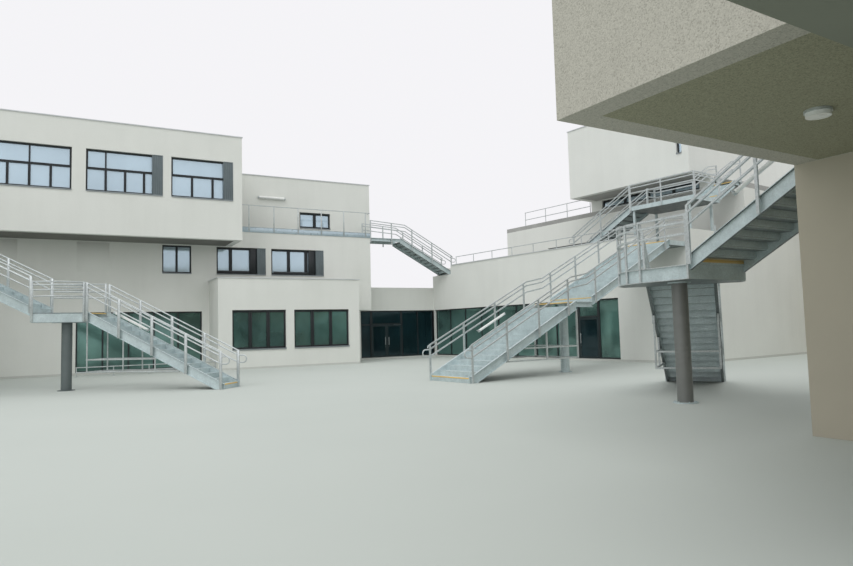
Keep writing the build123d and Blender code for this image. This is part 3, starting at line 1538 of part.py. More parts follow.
def door_leaf(name, frame, start, end, left, right):
    """A glazed leaf in its opening, its outer face level with the frame's."""
    plane, _ = face(frame, start, end, 0)
    low = GROUND_PLATE + DOOR_CLEARANCE
    high = GROUND_PLATE + DOOR_HEIGHT - DOOR_CLEARANCE
    centre_point = ((left + right) / 2, (low + high) / 2)
    width, height = right - left, high - low
    with BuildPart() as leaf:
        with BuildSketch(plane.offset(-REVEAL)):
            with Locations(centre_point):
                Rectangle(width, height)
                Rectangle(width - 2 * DOOR_STILE, height - 2 * DOOR_STILE, mode=Mode.SUBTRACT)
        extrude(amount=-DOOR_LEAF_THICKNESS)
    finish(leaf, f"{name}_leaf")
    with BuildPart() as pane:
        with BuildSketch(plane.offset(-REVEAL - (DOOR_LEAF_THICKNESS - GLASS) / 2)):
            with Locations(centre_point):
                Rectangle(width - 2 * DOOR_STILE, height - 2 * DOOR_STILE)
        extrude(amount=-GLASS)
    finish(pane, f"{name}_pane")


pair_middle = (pair_left + pair_right) / 2
door_leaf(
    "entrance_left",
    site,
    entrance_start,
    entrance_end,
    pair_left + DOOR_CLEARANCE,
    pair_middle - DOOR_CLEARANCE / 2,
)
door_leaf(
    "entrance_right",
    site,
    entrance_start,
    entrance_end,
    pair_middle + DOOR_CLEARANCE / 2,
    pair_right - DOOR_CLEARANCE,
)
door_leaf(
    "side_door",
    right_wing,
    band_start,
    band_end,
    door_left + DOOR_CLEARANCE,
    door_right - DOOR_CLEARANCE,
)

# Sliding shutters, parked over one end of their windows
def add_shutter(window, right):
    plane, _ = face(window.frame, window.start, window.end, 0)
    _, _, sill, head = window.hole
    with BuildSketch(plane) as board:
        with Locations((right - SHUTTER_WIDTH / 2, (sill + head) / 2)):
            Rectangle(SHUTTER_WIDTH, head - sill)
    extrude(board.sketch, amount=-SHUTTER_DEPTH)


with BuildPart() as shutters:
    for window in (middle_window, long_window, box_windows[0], box_windows[-1], box_windows[2]):
        add_shutter(window, window.hole[1])
finish(shutters, "window_shutters")

half = WALL / 2
with BuildPart() as copings:
    add_coping(
        site,
        rectangle(LEFT_END + half, BOX_RIGHT - half, FRONT_FACE + half, LEFT_BACK - half),
        BOX_TOP,
    )
    add_coping(
        site,
        [
            (BOX_RIGHT + half + COPING_OVERHANG, SET_BACK_FACE + half),
            (SET_BACK_RIGHT - half, SET_BACK_FACE + half),
            (SET_BACK_RIGHT - half, LEFT_BACK - half),
            (BOX_RIGHT + half + COPING_OVERHANG, LEFT_BACK - half),
        ],
        SET_BACK_TOP,
        False,
    )
    near_coping = FIRST_FACE - half - COPING_OVERHANG
    add_coping(
        site,
        [
            (BLOCK_LEFT + half, near_coping),
            (BLOCK_LEFT + half, FRONT_FACE + half),
            (BLOCK_RIGHT - half, FRONT_FACE + half),
            (BLOCK_RIGHT - half, near_coping),
        ],
        BLOCK_TOP,
        False,
    )
    add_coping(
        right_wing,
        rectangle(
            CANTILEVER_FACE + half, CANTILEVER_REAR - half, CANTILEVER_NEAR + half, CANTILEVER_FAR - half
        ),
        RIGHT_TOP,
    )
    band_inset = half + COPING_OVERHANG
    add_coping(
        right_wing,
        [(half, BRIDGE_GAP_NEAR - WALL), (half, MAIN_STAIR_FAR + WALL)],
        TERRACE_TOP,
        False,
    )
    add_coping(
        front_wing,
        [
            (EAST_INNER + half, east_inner_far - band_inset * 2),
            (EAST_INNER + half, -half),
            (-FRONT_OVERHANG + half, -half),
            (-FRONT_OVERHANG + half, -FRONT_DEPTH + half),
            (FRONT_LENGTH - half, -FRONT_DEPTH + half),
            (FRONT_LENGTH - half, east_wall_far - band_inset * 2),
        ],
        FRONT_TOP,
        False,
    )
finish(copings, "parapet_copings")

with BuildPart() as terrace_rails:
    add_fence(
        site,
        (BOX_RIGHT + RAIL, FIRST_FACE + half),
        (WING_RIGHT, FIRST_FACE + half),
        LEFT_TERRACE_TOP,
        TERRACE_RAIL,
        (TERRACE_RAIL, TERRACE_RAIL / 2),
        POST_PITCH,
    )
    add_fence(
        right_wing,
        (half, BRIDGE_GAP_NEAR - WALL),
        (half, MAIN_STAIR_FAR + WALL),
        TERRACE_TOP + COPING_HEIGHT,
        PARAPET_RAIL,
        (PARAPET_RAIL,),
        POST_PITCH,
    )
    add_fence(
        right_wing,
        (UPPER_FACE_RIGHT + WALL, UPPER_LEFT_END - WALL * 4),
        (UPPER_FACE_RIGHT + WALL, CANTILEVER_FAR + WALL),
        LOW_ROOF_TOP,
        TERRACE_RAIL,
        (TERRACE_RAIL, TERRACE_RAIL / 2),
        POST_PITCH,
    )
    add_fence(
        site,
        (CURTAIN_LEFT - BAY, GUARD_LINE),
        (BLOCK_LEFT - STEEL_GAP, GUARD_LINE),
        0,
        GUARD_HEIGHT,
        (GUARD_HEIGHT, GUARD_HEIGHT / 2),
        POST_PITCH,
    )
finish(terrace_rails, "terrace_rails")


# Round stair's rails: straight ones on both flights, and curved ones round the landing
def round_ring(radius, start_angle, span, height):
    """A rail bent to an arc round the landing's centre."""
    with BuildSketch(site.offset(ROUND_TOP + height - RAIL)) as ring:
        with BuildLine() as edge:
            outer = CenterArc((centre.X, centre.Y), radius + RAIL / 2, start_angle, span)
            inner = CenterArc((centre.X, centre.Y), radius - RAIL / 2, start_angle, span)
            Line(outer @ 0, inner @ 0)
            Line(outer @ 1, inner @ 1)
        make_face()
    extrude(ring.sketch, amount=RAIL)


rail_radius = ROUND_RADIUS + POST / 2 + FIT
edge_angle = degrees(acos(DOWN_START / ROUND_RADIUS))
side_angle = degrees(asin((UP_FLIGHT_RIGHT - ROUND_X) / ROUND_RADIUS))
west_start = DOWN_ANGLE + edge_angle
west_span = 180 + FRONT_TURN - west_start - RAIL_JOINT
east_start = FRONT_TURN + side_angle - 90
east_span = DOWN_ANGLE - edge_angle - east_start
arcs = [
    (west_start + west_span / 2 * part, west_span / 2 - RAIL_JOINT) for part in range(2)
]
arcs.append((east_start, east_span))
with BuildPart() as landing_rail:
    for start_angle, span in arcs:
        for height in RAIL_HEIGHTS:
            round_ring(rail_radius, start_angle, span, height)
        turn = radians(start_angle + span / 2)
        with BuildSketch(site.offset(ROUND_TOP - ROUND_DEPTH)) as post:
            with Locations(
                (centre.X + rail_radius * cos(turn), centre.Y + rail_radius * sin(turn))
            ):
                Circle(POST / 2)
        extrude(post.sketch, amount=ROUND_DEPTH + RAIL_HEIGHTS[0] - RAIL / 2)
    add_fence(
        front_wing,
        (UP_FLIGHT_LEFT - RAIL / 2, ROUND_Y),
        (UP_FLIGHT_LEFT - RAIL / 2, UP_FLIGHT_FOOT + 2 * STEEL_GAP),
        ROUND_TOP - ROUND_DEPTH,
        ROUND_DEPTH + RAIL_HEIGHTS[0],
        [ROUND_DEPTH + height for height in RAIL_HEIGHTS],
        POST_PITCH,
    )
    add_stair_rails(up_stair, [up_flight], up_width, UP_FLIGHT_FOOT - STEEL_GAP)
    add_stair_rails(down_stair, [down_flight], DOWN_WIDTH, down_flight.end_x - STEEL_GAP)
    add_guard(down_stair, down_flight, DOWN_WIDTH, down_flight.end_x - GUARD_FROM_LANDING)
finish(landing_rail, "round_stair_rails")
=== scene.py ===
"""Looks of the school building round a courtyard.

Sizes of the pieces are in real metres, and each wing's matrix brings them to the half-size model.
"""
from math import atan2, cos, degrees, hypot, pi, radians, sin

import bmesh
import bpy
from mathutils import Matrix, Vector


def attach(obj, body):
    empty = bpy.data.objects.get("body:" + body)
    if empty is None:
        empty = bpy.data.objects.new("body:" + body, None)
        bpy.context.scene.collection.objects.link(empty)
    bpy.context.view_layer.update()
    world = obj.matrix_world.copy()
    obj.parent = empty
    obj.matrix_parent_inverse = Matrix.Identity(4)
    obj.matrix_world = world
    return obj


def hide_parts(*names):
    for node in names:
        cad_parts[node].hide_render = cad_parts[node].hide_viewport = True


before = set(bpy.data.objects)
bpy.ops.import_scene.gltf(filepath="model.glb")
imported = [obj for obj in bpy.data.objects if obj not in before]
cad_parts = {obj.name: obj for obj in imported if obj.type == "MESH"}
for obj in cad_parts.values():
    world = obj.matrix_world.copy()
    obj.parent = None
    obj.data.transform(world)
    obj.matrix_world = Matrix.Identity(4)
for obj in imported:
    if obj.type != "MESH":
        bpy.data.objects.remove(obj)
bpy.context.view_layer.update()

SCALE = 0.5


def wing_place(x, y, turn):
    """A wing's own frame: its corner in real metres, and its turn."""
    corner = Matrix.Translation((x, y, 0))
    return Matrix.Scale(SCALE, 4) @ corner @ Matrix.Rotation(radians(turn), 4, "Z")


SITE = wing_place(0, 0, 0)
RIGHT = wing_place(3.36 + 18.5 * sin(radians(7.2)), -0.15 - 18.5 * cos(radians(7.2)), 7.2)
FRONT = wing_place(-7.87, -31.35, 2)


# Finishes. Heights at which a finish changes are in the model's metres
DASH_FOOT = 2.02
COLUMN_HEAD = 1.29
SLAB_EDGE = 0.06
UPPER_GLASS_FOOT = 1.55
# How far a face has to look up, of 1, to count as level
LEVEL = 0.95


class Finish:
    """A painted, plastered or metal surface, built from patterns on the piece's own coordinates."""

    def __init__(self, name, roughness=0.6, metallic=0.0):
        self.material = bpy.data.materials.new(name)
        self.material.use_nodes = True
        self.tree = self.material.node_tree
        self.shader = self.tree.nodes["Principled BSDF"]
        self.shader.inputs["Roughness"].default_value = roughness
        self.shader.inputs["Metallic"].default_value = metallic
        self.place = self.tree.nodes.new("ShaderNodeTexCoord").outputs["Object"]

    def link(self, source, target):
        self.tree.links.new(source, target)

    def stretched(self, scale):
        node = self.tree.nodes.new("ShaderNodeMapping")
        node.inputs["Scale"].default_value = scale
        self.link(self.place, node.inputs["Vector"])
        return node.outputs["Vector"]

    def clouds(self, scale, detail=4.0, roughness=0.55, stretch=None):
        node = self.tree.nodes.new("ShaderNodeTexNoise")
        node.inputs["Scale"].default_value = scale
        node.inputs["Detail"].default_value = detail
        node.inputs["Roughness"].default_value = roughness
        self.link(self.stretched(stretch) if stretch else self.place, node.inputs["Vector"])
        return node.outputs["Fac"]

    def grains(self, scale, output="Color"):
        node = self.tree.nodes.new("ShaderNodeTexVoronoi")
        node.inputs["Scale"].default_value = scale
        self.link(self.place, node.inputs["Vector"])
        return node.outputs[output]

    def value_of(self, colour):
        node = self.tree.nodes.new("ShaderNodeSeparateColor")
        self.link(colour, node.inputs["Color"])
        return node.outputs["Red"]

    def ramp(self, factor, *stops):
        node = self.tree.nodes.new("ShaderNodeValToRGB")
        while len(node.color_ramp.elements) < len(stops):
            node.color_ramp.elements.new(0.5)
        for element, (position, colour) in zip(node.color_ramp.elements, stops):
            element.position = position
            element.color = (*colour, 1)
        self.link(factor, node.inputs["Fac"])
        return node.outputs["Color"]

    def greys(self, factor, low, high, start=0.3, end=0.7):
        return self.ramp(factor, (start, (low, low, low)), (end, (high, high, high)))

    def blend(self, kind, factor, first, second):
        node = self.tree.nodes.new("ShaderNodeMix")
        node.data_type = "RGBA"
        node.blend_type = kind
        if isinstance(factor, (int, float)):
            node.inputs[0].default_value = factor
        else:
            self.link(factor, node.inputs[0])
        for value, socket in ((first, node.inputs[6]), (second, node.inputs[7])):
            if isinstance(value, tuple):
                socket.default_value = (*value, 1)
            else:
                self.link(value, socket)
        return node.outputs[2]

    def height(self):
        """The height over the ground, in the model's metres."""
        node = self.tree.nodes.new("ShaderNodeSeparateXYZ")
        self.link(self.place, node.inputs["Vector"])
        return node.outputs["Z"]

    def step(self, value, edge):
        node = self.tree.nodes.new("ShaderNodeMath")
        node.operation = "GREATER_THAN"
        node.inputs[1].default_value = edge
        self.link(value, node.inputs[0])
        return node.outputs[0]

    def facing_up(self):
        """0 for a face that looks down, 1 for one that looks up."""
        node = self.tree.nodes.new("ShaderNodeNewGeometry")
        parts = self.tree.nodes.new("ShaderNodeSeparateXYZ")
        self.link(node.outputs["Normal"], parts.inputs["Vector"])
        half = self.tree.nodes.new("ShaderNodeMath")
        half.operation = "MULTIPLY_ADD"
        half.inputs[1].default_value = 0.5
        half.inputs[2].default_value = 0.5
        self.link(parts.outputs["Z"], half.inputs[0])
        return half.outputs[0]

    def colour(self, socket):
        self.link(socket, self.shader.inputs["Base Color"])

    def roughness(self, factor, low, high):
        self.link(self.greys(factor, low, high), self.shader.inputs["Roughness"])

    def bump(self, height, strength, distance):
        node = self.tree.nodes.new("ShaderNodeBump")
        node.inputs["Strength"].default_value = strength
        node.inputs["Distance"].default_value = distance
        self.link(height, node.inputs["Height"])
        self.link(node.outputs["Normal"], self.shader.inputs["Normal"])


def plaster(name, light, dark):
    """Painted render: faint clouds of tone, streaks below the parapets and a fine float grain."""
    finish = Finish(name, 0.85)
    clouds = finish.ramp(finish.clouds(0.9, 5), (0.35, dark), (0.65, light))
    streaks = finish.greys(finish.clouds(3.2, 6, 0.6, (1, 1, 0.09)), 0.975, 1.0, 0.32, 0.55)
    grain = finish.clouds(210, 3, 0.7)
    colour = finish.blend("MULTIPLY", 1.0, clouds, streaks)
    finish.colour(finish.blend("MULTIPLY", 1.0, colour, finish.greys(grain, 0.95, 1.03)))
    finish.roughness(grain, 0.78, 0.92)
    finish.bump(grain, 0.35, 0.0012)
    return finish.material


def stone_dash(name, light, middle, dark, smooth, foot, top=None):
    """Pebble-dash: small stones of several greys pressed into the coat.

    Below foot the coat is smooth render. Faces that look up have the tone of top.
    """
    finish = Finish(name, 0.9)
    stones = finish.value_of(finish.grains(150))
    fine = finish.value_of(finish.grains(310))
    tone = finish.ramp(stones, (0.0, dark), (0.3, middle), (0.8, light), (1.0, middle))
    speck = finish.greys(fine, 0.9, 1.06, 0.1, 0.9)
    clouds = finish.greys(finish.clouds(1.3, 5), 0.97, 1.02)
    colour = finish.blend("MULTIPLY", 1.0, finish.blend("MULTIPLY", 1.0, tone, speck), clouds)
    relief = finish.grains(150, "Distance")
    upper = finish.step(finish.height(), foot)
    plain = finish.ramp(finish.clouds(0.9, 5), (0.35, smooth[1]), (0.65, smooth[0]))
    colour = finish.blend("MIX", upper, plain, colour)
    relief = finish.blend("MULTIPLY", 1.0, upper, relief)
    if top:
        colour = finish.blend("MIX", finish.step(finish.facing_up(), LEVEL), colour, top)
    finish.colour(colour)
    finish.bump(relief, 0.3, -0.002)
    return finish.material


def zinc(name, light, dark, metallic=0.55, spangle_low=0.86, under=1.0, foot=None):
    """Hot-dip galvanised steel: spangle, and dull patches where it has weathered.

    Faces that look down are darkened to under, a painted shade. Below COLUMN_HEAD a column has the
    paint of foot.
    """
    finish = Finish(name, 0.45, metallic)
    spangle = finish.value_of(finish.grains(75))
    dull = finish.clouds(5.5, 6, 0.6)
    base = finish.ramp(dull, (0.35, dark), (0.65, light))
    flecks = finish.greys(spangle, spangle_low, 1.06, 0.0, 1.0)
    colour = finish.blend("MULTIPLY", 1.0, base, flecks)
    # painted shade: faces that look down are darkened towards under
    shade = finish.greys(finish.facing_up(), under, 1.0, 0.15, 0.5)
    colour = finish.blend("MULTIPLY", 1.0, colour, shade)
    if foot:
        colour = finish.blend("MIX", finish.step(finish.height(), COLUMN_HEAD), foot, colour)
    finish.colour(colour)
    finish.roughness(finish.clouds(14, 4), 0.36, 0.58)
    finish.bump(finish.clouds(120, 2), 0.08, 0.001)
    return finish.material


def powder_coat(name, light, dark, roughness=0.42, metallic=0.0):
    """Powder coated metal: nearly even, with an orange-peel skin."""
    finish = Finish(name, roughness, metallic)
    finish.colour(finish.ramp(finish.clouds(3.0, 5), (0.35, dark), (0.7, light)))
    finish.roughness(finish.clouds(9, 4), roughness - 0.07, roughness + 0.1)
    finish.bump(finish.clouds(420, 2), 0.1, 0.0006)
    return finish.material


def tinted_glass(name, low_colour, high_colour):
    """Coated glazing with rain marks and slightly uneven panes. Its colour is partly tint and
    partly painted reflection: pale and blue above UPPER_GLASS_FOOT, darker and greener on the
    ground storey.
    """
    finish = Finish(name, 0.05, 0.42)
    clouds = finish.clouds(0.7, 3)
    low = finish.ramp(clouds, (0.36, tuple(0.4 * c for c in low_colour)), (0.64, low_colour))
    high = finish.ramp(clouds, (0.3, tuple(0.86 * c for c in high_colour)), (0.7, high_colour))
    # painted reflection: the panes turn paler and bluer above UPPER_GLASS_FOOT
    finish.colour(finish.blend("MIX", finish.step(finish.height(), UPPER_GLASS_FOOT), low, high))
    finish.roughness(finish.clouds(4, 5, 0.6, (1, 1, 0.2)), 0.03, 0.12)
    finish.bump(finish.clouds(1.1, 2), 0.03, 0.01)
    finish.shader.inputs["IOR"].default_value = 1.52
    finish.shader.inputs["Transmission Weight"].default_value = 0.35
    return finish.material


def concrete(name, light, dark, stones=0.0, plinth=None):
    """Cast slabs, or a roof covered with gravel where stones is set.

    With a plinth, the ground slab's edge has its tone and level faces have LEVEL_TONE.
    """
    finish = Finish(name, 0.88)
    tone = finish.ramp(finish.clouds(1.6, 6, 0.6), (0.3, dark), (0.7, light))
    grain = finish.grains(95, "Distance") if stones else finish.clouds(60, 5)
    if plinth:
        tone = finish.blend("MIX", finish.step(finish.facing_up(), LEVEL), tone, LEVEL_TONE)
        tone = finish.blend("MIX", finish.step(finish.height(), SLAB_EDGE), plinth, tone)
    finish.colour(finish.blend("MULTIPLY", 1.0, tone, finish.greys(grain, 0.82, 1.05, 0.0, 0.9)))
    finish.bump(grain, 0.3 + stones, 0.003)
    return finish.material


LEVEL_TONE = (0.4, 0.4, 0.38)
FRONT_SMOOTH = ((0.485, 0.447, 0.36), (0.45, 0.415, 0.335))
left_coat = plaster("left_wing_render", (0.76, 0.77, 0.73), (0.73, 0.742, 0.7))
right_coat = plaster("right_wing_render", (0.775, 0.787, 0.75), (0.745, 0.756, 0.72))
front_coat = stone_dash(
    "front_wing_coat",
    (0.5, 0.485, 0.42),
    (0.44, 0.425, 0.367),
    (0.34, 0.328, 0.28),
    FRONT_SMOOTH,
    DASH_FOOT,
)
# The front wing's pebble-dash darkened for its soffit and slab edges: painted shade. Faces that
# look up take LEVEL_TONE.
soffit_painted_shade_coat = stone_dash(
    "front_soffit_painted_shade_coat",
    (0.335, 0.33, 0.23),
    (0.28, 0.278, 0.19),
    (0.21, 0.208, 0.145),
    FRONT_SMOOTH,
    SLAB_EDGE,
    LEVEL_TONE,
)
porch_paint = plaster("porch_ceiling_paint", (0.2, 0.215, 0.17), (0.18, 0.195, 0.155))
# The slabs' concrete tone is darkened to stand for the shade under the boxes and overhangs: painted
# shade. Level faces take LEVEL_TONE and the ground slab's edge its plinth tone.
slab_face_with_painted_shade = concrete(
    "floor_slabs_with_painted_shade", (0.205, 0.205, 0.185), (0.155, 0.155, 0.14), plinth=(0.6, 0.61, 0.575)
)
gravel = concrete("roof_gravel", (0.47, 0.47, 0.45), (0.33, 0.33, 0.32), 0.4)
frame_coat = powder_coat("anthracite_powder_coat", (0.016, 0.021, 0.024), (0.01, 0.014, 0.016))
leaf_coat = powder_coat("door_powder_coat", (0.012, 0.026, 0.03), (0.008, 0.018, 0.021), 0.35)
shutter_coat = powder_coat(
    "shutter_powder_coat", (0.15, 0.185, 0.195), (0.12, 0.15, 0.16), 0.4, 0.2
)
coping_metal = powder_coat("coping_sheet", (0.7, 0.72, 0.73), (0.6, 0.62, 0.63), 0.35, 0.25)
flashing = powder_coat("terrace_edge_sheet", (0.52, 0.62, 0.68), (0.44, 0.54, 0.6), 0.3, 0.3)
sill_metal = powder_coat("window_sill_sheet", (0.3, 0.33, 0.34), (0.24, 0.27, 0.28), 0.38, 0.3)
nosing_paint = powder_coat("step_edge_paint", (0.78, 0.56, 0.22), (0.68, 0.47, 0.17), 0.6)
lamp_cover = powder_coat("lamp_opal_cover", (0.86, 0.87, 0.85), (0.8, 0.81, 0.79), 0.25)
# The last number darkens faces that look down to 0.3 of their colour: painted shade under the
# flights and landings.
STAIR_ZINC = ((0.59, 0.68, 0.69), (0.48, 0.56, 0.57), 0.3, 0.93, 0.3)
steel = zinc("galvanised_stair_steel", *STAIR_ZINC)
landing_steel = zinc("round_landing_steel", *STAIR_ZINC, foot=(0.2, 0.205, 0.195))
column_paint = powder_coat("column_paint", (0.13, 0.155, 0.155), (0.105, 0.13, 0.13), 0.6)
rail_steel = zinc("galvanised_rail_tube", (0.6, 0.64, 0.64), (0.5, 0.535, 0.535))
# The pale upper glass colour is mostly a painted sky reflection; the ground storey colours are
# darker, partly tint and partly painted reflection.
UPPER_GLASS = (0.68, 0.84, 0.95)
glazing = tinted_glass("glazing_tint_and_painted_reflection", (0.2, 0.38, 0.34), UPPER_GLASS)
entrance_glass = tinted_glass("entrance_glazing_tint_and_painted_reflection", (0.02, 0.06, 0.075), UPPER_GLASS)

NODE_FINISHES = {
    "left": left_coat,
    "link": left_coat,
    "west": left_coat,
    "right": right_coat,
    "front": front_coat,
    "east": front_coat,
    "porch": porch_paint,
}
SPECIAL_FINISHES = {
    "floors": slab_face_with_painted_shade,
    "floor_and_roof": slab_face_with_painted_shade,
    "floors_and_roof": soffit_painted_shade_coat,
    "roofs": gravel,
    "window_frames": frame_coat,
    "window_glass": glazing,
    "pane": entrance_glass,
    "link_window_glass": entrance_glass,
    "leaf": leaf_coat,
    "shutters": shutter_coat,
    "copings": coping_metal,
    "rails": rail_steel,
    "stair": steel,
    "stairs": steel,
    "round_landing": landing_steel,
}


def dress_nodes():
    """Gives each solid of the frame its finish, from the end of its name or else from its wing."""
    for name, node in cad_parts.items():
        endings = [ending for ending in SPECIAL_FINISHES if name.endswith(ending)]
        if endings:
            material = SPECIAL_FINISHES[max(endings, key=len)]
        else:
            material = NODE_FINISHES[name.split("_")[0]]
        for slot in node.material_slots:
            slot.material = material


dress_nodes()


# Pieces
class Piece:
    """A piece under way: its shapes are given in real metres of the current frame."""

    def __init__(self, place=SITE):
        self.shape = bmesh.new()
        self.place = place

    def at(self, place):
        self.place = place
        return self

    def bar(self, low, high, edge=0.005):
        """A straight bar or board between two corners, its edges taken off."""
        low, high = Vector(low), Vector(high)
        size = Matrix.Diagonal((*(high - low), 1))
        made = bmesh.ops.create_cube(
            self.shape, size=1, matrix=self.place @ Matrix.Translation((low + high) / 2) @ size
        )
        edges = list(dict.fromkeys(side for vert in made["verts"] for side in vert.link_edges))
        bmesh.ops.bevel(
            self.shape,
            geom=edges,
            offset=min(edge, min(high - low) / 4) * SCALE,
            offset_type="OFFSET",
            segments=1,
            profile=0.5,
            affect="EDGES",
            material=-1,
        )

    def plate(self, outline, thickness):
        """A flat plate from its outline, and its thickness as a vector."""
        corners = [self.shape.verts.new(self.place @ Vector(point)) for point in outline]
        grown = bmesh.ops.extrude_face_region(self.shape, geom=[self.shape.faces.new(corners)])
        moved = [part for part in grown["geom"] if isinstance(part, bmesh.types.BMVert)]
        bmesh.ops.translate(self.shape, vec=self.place.to_3x3() @ Vector(thickness), verts=moved)

    def disc(self, foot, radius, height, sides=20):
        """A round plate or post standing on its foot."""
        middle = Vector(foot) + Vector((0, 0, height / 2))
        bmesh.ops.create_cone(
            self.shape,
            cap_ends=True,
            segments=sides,
            radius1=radius,
            radius2=radius,
            depth=height,
            matrix=self.place @ Matrix.Translation(middle),
        )

    def tube(self, path, radius, sides=8):
        """A round tube through points, its rings turned at each bend."""
        points = [self.place @ Vector(point) for point in path]
        runs = [(last - first).normalized() for first, last in zip(points, points[1:])]
        bends = [(first + last).normalized() for first, last in zip(runs, runs[1:])]
        headings = [runs[0], *bends, runs[-1]]
        turn = Vector((0, 0, 1)).rotation_difference(headings[0]).to_matrix().to_4x4()
        ring = bmesh.ops.create_circle(
            self.shape,
            cap_ends=True,
            segments=sides,
            radius=radius * SCALE,
            matrix=Matrix.Translation(points[0]) @ turn,
        )["verts"]
        cap = ring[0].link_faces[0]
        for here, there, old, new in zip(points, points[1:], headings, headings[1:]):
            grown = bmesh.ops.extrude_face_region(self.shape, geom=[cap])["geom"]
            ring = [part for part in grown if isinstance(part, bmesh.types.BMVert)]
            cap = next(part for part in grown if isinstance(part, bmesh.types.BMFace))
            twist = old.rotation_difference(new).to_matrix()
            bmesh.ops.rotate(self.shape, cent=here, matrix=twist, verts=ring)
            bmesh.ops.translate(self.shape, vec=there - here, verts=ring)

    def done(self, name, material, slot, body="building", stands_for=()):
        """Closes the piece: faces outward, sharp edges kept, its finish and body given; slot is not
        used.
        """
        bmesh.ops.recalc_face_normals(self.shape, faces=self.shape.faces)
        for face in self.shape.faces:
            face.smooth = True
        for edge in self.shape.edges:
            edge.smooth = edge.calc_face_angle(pi) < radians(50)
        mesh = bpy.data.meshes.new(name)
        self.shape.to_mesh(mesh)
        self.shape.free()
        mesh.materials.append(material)
        piece = bpy.data.objects.new(name, mesh)
        bpy.context.collection.objects.link(piece)
        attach(piece, body)
        if stands_for:
            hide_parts(*stands_for)
        return piece


def turned(place, x, y, z, angle):
    """A frame of its own inside a wing: a flight's foot, or a wall seen from outside."""
    return place @ Matrix.Translation((x, y, z)) @ Matrix.Rotation(radians(angle), 4, "Z")


# Windows: x to the right along the wall from outside, y into the wall
REVEAL = 0.12
BAR = 0.07
FRAME_BACK = 0.22
SILL_LIP, SILL_FOLD, SILL_GAP, SILL_CAP = 0.035, 0.008, 0.004, 0.012
SASH, SASH_PROUD, SASH_DEPTH = 0.05, 0.018, 0.03
FIRST_STOREY = turned(SITE, 0, -1.75, 0, 0)
BOX_FRONT = turned(SITE, 0, -4.15, 0, 0)
SET_BACK = turned(SITE, 0, -0.15, 0, 0)
LEFT_REAR = turned(SITE, -1.78, 8.30, 0, 180)
LINK_REAR = turned(SITE, 6.0, 8.30, 0, 180)
RIGHT_FRONT = turned(RIGHT, 0, 18.5, 0, -90)
RIGHT_FAR = turned(RIGHT, 19.15, 18.5, 0, 180)
RIGHT_REAR = turned(RIGHT, 19.5, 0, 0, 90)
RIGHT_UPPER = turned(RIGHT, 4.6, 16.2, 0, -90)
UNDER_BOX = turned(RIGHT, 4.6, 9.0, 0, -90)
CANTILEVER = turned(RIGHT, 2.8, 9.0, 0, -90)
FRONT_COURT = turned(FRONT, 24.3, 0, 0, 180)
FRONT_OUTER = turned(FRONT, 0, -9, 0, 0)
EAST_OUTER = turned(FRONT, 32, -8.65, 0, 90)
EAST_INNER = turned(FRONT, 24.3, 13.304, 0, -90)

LOW, MIDDLE, HIGH = (0.97, 2.96), (4.97, 6.43), (8.47, 10.43)
WIDE = 4.6
BOX_LEFTS = (-16.91, -20.76, -24.61, -28.46)
BOX_BAR = 9.55
CLOSED_LEFTS = (-17.22, -21.07)
SMALL_LEFT, SMALL_WIDTH = -13.37, 1.42
BEAD = 0.016
PANEL_DEPTH = 0.35


def quarters(left, width, count):
    """The lines that split a window into equal lights, its two edges among them."""
    return [left + width * index / count for index in range(count + 1)]


# Each window: wall, left, width, sill and head, and its uprights from edge to edge
left_windows = [
    (FIRST_STOREY, SMALL_LEFT, SMALL_WIDTH, MIDDLE, quarters(SMALL_LEFT, SMALL_WIDTH, 2)),
    (FIRST_STOREY, -10.68, 2.62, MIDDLE, [-10.68, -9.93, -8.06]),
    (FIRST_STOREY, -7.75, 3.03, MIDDLE, quarters(-7.75, 3.03, 3)),
    (BOX_FRONT, -10.39, 2.73, LOW, quarters(-10.39, 2.73, 3)),
    (BOX_FRONT, -7.23, 3.05, LOW, quarters(-7.23, 3.05, 3)),
    (SET_BACK, -5.60, 1.92, (7.95, 8.90), quarters(-5.60, 1.92, 2)),
]
right_windows = [
    (RIGHT_UPPER, 3.65, 4.45, (6.10, 6.60), quarters(3.65, 4.45, 4)),
    (UNDER_BOX, 0.75, 6.05, (8.36, 8.84), quarters(0.75, 6.05, 4)),
]
box_windows = [(BOX_FRONT, left, 3.28, HIGH, quarters(left, 3.28, 4)) for left in BOX_LEFTS]
box_windows.append((BOX_FRONT, -13.25, 2.93, HIGH, quarters(-13.25, 2.93, 3)))


def wide_row(wall, lefts, *storeys):
    """A row of equal windows on each of the storeys."""
    places = [(storey, left) for storey in storeys for left in lefts]
    return [(wall, left, WIDE, storey, quarters(left, WIDE, 4)) for storey, left in places]


left_hidden = wide_row(LEFT_REAR, (4.41, 11.41, 18.41), LOW, MIDDLE, HIGH)
left_hidden += wide_row(LINK_REAR, (1.59,), LOW)
right_hidden = wide_row(RIGHT_FAR, (2.675, 9.675), LOW)
right_hidden += wide_row(RIGHT_REAR, (3.45, 10.45), LOW, (6.10, 7.60))
front_hidden = wide_row(FRONT_COURT, (9.5, 16.5), LOW)
front_hidden += wide_row(FRONT_OUTER, (3.2, 10.2, 17.2, 24.2), LOW, MIDDLE)
front_hidden += wide_row(EAST_OUTER, (2.01, 9.01, 16.01), LOW, MIDDLE)
front_hidden += wide_row(EAST_INNER, (4.352,), LOW)
cantilever_window = (CANTILEVER, 6.76, 0.29, (9.90, 11.90), [6.76, 7.05])


